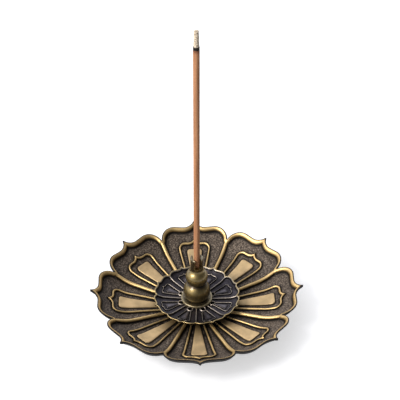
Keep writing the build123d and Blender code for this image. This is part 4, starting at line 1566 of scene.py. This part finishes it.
class MakeStick(bpy.types.Operator):
    """Makes the incense stick, its charred band and the ash that stands on it"""

    bl_idname = "incense_holder.stick"
    bl_label = "Incense stick"

    def execute(self, context):
        settings = context.scene.incense_stick
        stick = in_mm(settings)
        char_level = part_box("char_band")[0].z
        rods = (
            SimpleNamespace(
                name="incense_rod", node="incense_stick", slot="incense_paste",
                finish=pressed_sandalwood_paste(settings, char_level), play=stick.foot_play,
                waver=stick.waver, taper=1.0, rings=180, segments=40,
                end_round=0.0, squash=0.25, seed=1.0,
            ),
            SimpleNamespace(
                name="char_ring", node="char_band", slot="charred_incense",
                finish=charred_paste(settings), play=0.0,
                waver=stick.waver * 2.5, taper=1.0, rings=12, segments=48,
                end_round=0.05, squash=1.0, seed=5.0,
            ),
            SimpleNamespace(
                name="ash_column", node="ash_tip", slot="incense_ash",
                finish=standing_ash(settings), play=0.0,
                waver=stick.crumble, taper=0.82, rings=60, segments=48,
                end_round=0.12, squash=1.0, seed=9.0,
            ),
        )
        for rod in rods:
            low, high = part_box(rod.node)
            radius = (high.x - low.x) / 2 / MM
            mesh = rod_mesh(rod.name, low.z / MM + rod.play, high.z / MM, radius, rod)
            mesh.materials.append(rod.finish)
            piece = show(rod.name, mesh)
            close(piece, PRESSED_SHARP)
            dress(piece, "stick", rod.slot, rod.node)
        return {"FINISHED"}


class FinishScrew(bpy.types.Operator):
    """Gives the CAD screw its plated finish"""

    bl_idname = "incense_holder.screw"
    bl_label = "Fixing screw"

    def execute(self, context):
        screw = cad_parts["fixing_screw"]
        finish = zinc_plated_steel()
        for slot in screw.material_slots:
            slot.material = finish
        return {"FINISHED"}


class SetStage(bpy.types.Operator):
    """Lays the white floor, hangs the lamps and sets the camera"""

    bl_idname = "incense_holder.stage"
    bl_label = "Studio"

    def execute(self, context):
        scene = context.scene
        settings = scene.incense_stage
        half = settings.floor_size / 2
        mesh = bpy.data.meshes.new("paper_floor")
        corners = [(-half, -half, 0), (half, -half, 0), (half, half, 0), (-half, half, 0)]
        mesh.from_pydata(corners, [], [(0, 1, 2, 3)])
        mesh.materials.append(white_paper(settings))
        floor = show("paper_floor", mesh)
        # The warm key lights the holder alone; the paper has its own lamp, which casts a paler shadow
        paper = bpy.data.collections.new("paper_alone")
        paper.objects.link(floor)
        holder = bpy.data.collections.new("all_but_paper")
        holder.objects.link(floor)
        holder.collection_objects[0].light_linking.link_state = "EXCLUDE"
        turn = Matrix.Rotation(-settings.picture_turn, 4, "Z")
        lamps = (
            ("key_softbox", KEY_PLACE, 0.36, 10.5, (1.0, 0.92, 0.79), holder),
            ("paper_softbox", PAPER_LAMP_PLACE, 0.3, 3.2, (1.0, 1.0, 1.0), paper),
        )
        for name, place, wide, power, tint, lit in lamps:
            lamp = bpy.data.lights.new(name, "AREA")
            lamp.shape = "SQUARE"
            lamp.size = wide
            lamp.energy = power
            lamp.color = tint
            hung = bpy.data.objects.new(name, lamp)
            hung.light_linking.receiver_collection = lit
            hung.matrix_world = turn @ looking(place, LAMP_AIM)
            scene.collection.objects.link(hung)
        world = bpy.data.worlds.new("studio_room")
        scene.world = world
        world.use_nodes = True
        tree = world.node_tree
        tree.nodes.clear()
        # The room is bright behind the dish and dim in front of it, with a soft glow round the key light
        ways = add_node(tree, "ShaderNodeTexCoord").outputs["Generated"]
        behind = add_node(
            tree, "ShaderNodeVectorMath", {"operation": "DOT_PRODUCT"}, {0: ways, 1: BRIGHT_SIDE},
        ).outputs["Value"]
        room = add_node(
            tree, "ShaderNodeMapRange", {"interpolation_type": "SMOOTHSTEP"},
            {"Value": behind, "From Min": -0.5, "From Max": 0.7, "To Min": 0.15, "To Max": 1.15},
        ).outputs["Result"]
        beside = add_node(
            tree, "ShaderNodeVectorMath", {"operation": "DOT_PRODUCT"}, {0: ways, 1: KEY_PLACE},
        ).outputs["Value"]
        glow = add_node(
            tree, "ShaderNodeMapRange", {"interpolation_type": "SMOOTHSTEP"},
            {"Value": beside, "From Min": 0.6, "From Max": 0.98, "To Min": 0.0, "To Max": 0.9},
        ).outputs["Result"]
        strength = add_node(tree, "ShaderNodeMath", {"operation": "ADD"}, {0: room, 1: glow}).outputs[0]
        light = add_node(
            tree, "ShaderNodeBackground", None, {"Color": (0.98, 0.985, 1.03, 1.0), "Strength": strength},
        ).outputs["Background"]
        add_node(tree, "ShaderNodeOutputWorld", None, {"Surface": light})
        lens = bpy.data.cameras.new("picture_camera")
        lens.lens = settings.lens
        lens.sensor_width = 36.0
        camera = bpy.data.objects.new("picture_camera", lens)
        camera.matrix_world = turn @ looking(settings.camera_place, settings.camera_target)
        scene.collection.objects.link(camera)
        scene.camera = camera
        scene.view_settings.view_transform = "Standard"
        return {"FINISHED"}


class INCENSE_PT_holder(bpy.types.Panel):
    """Lists the pieces and the sizes that shape them"""

    bl_label = "Lotus incense holder"
    bl_space_type = "VIEW_3D"
    bl_region_type = "UI"
    bl_category = "Incense"

    def draw(self, context):
        for operator in OPERATORS:
            self.layout.operator(operator.bl_idname)
        for name, group in SETTINGS.items():
            box = self.layout.box()
            box.label(text=group.__doc__)
            for field in group.__annotations__:
                box.prop(getattr(context.scene, name), field)


SETTINGS = {
    "incense_outer": OuterDishSettings,
    "incense_inner": InnerDishSettings,
    "incense_gourd": GourdSettings,
    "incense_stick": StickSettings,
    "incense_stage": StageSettings,
}
OPERATORS = (MakeOuterDish, MakeInnerDish, MakeGourd, MakeStick, FinishScrew, SetStage)


def register():
    for group in SETTINGS.values():
        bpy.utils.register_class(group)
    for kind in OPERATORS + (INCENSE_PT_holder,):
        bpy.utils.register_class(kind)
    for name, group in SETTINGS.items():
        setattr(bpy.types.Scene, name, bpy.props.PointerProperty(type=group))


def unregister():
    for name in SETTINGS:
        delattr(bpy.types.Scene, name)
    for kind in (INCENSE_PT_holder,) + OPERATORS[::-1]:
        bpy.utils.unregister_class(kind)
    for group in reversed(SETTINGS.values()):
        bpy.utils.unregister_class(group)


def main():
    """Makes every piece and the studio."""
    register()
    bpy.ops.incense_holder.outer_dish()
    bpy.ops.incense_holder.inner_dish()
    bpy.ops.incense_holder.gourd()
    bpy.ops.incense_holder.stick()
    bpy.ops.incense_holder.screw()
    bpy.ops.incense_holder.stage()
    bpy.context.view_layer.update()


if __name__ == "__main__":
    main()
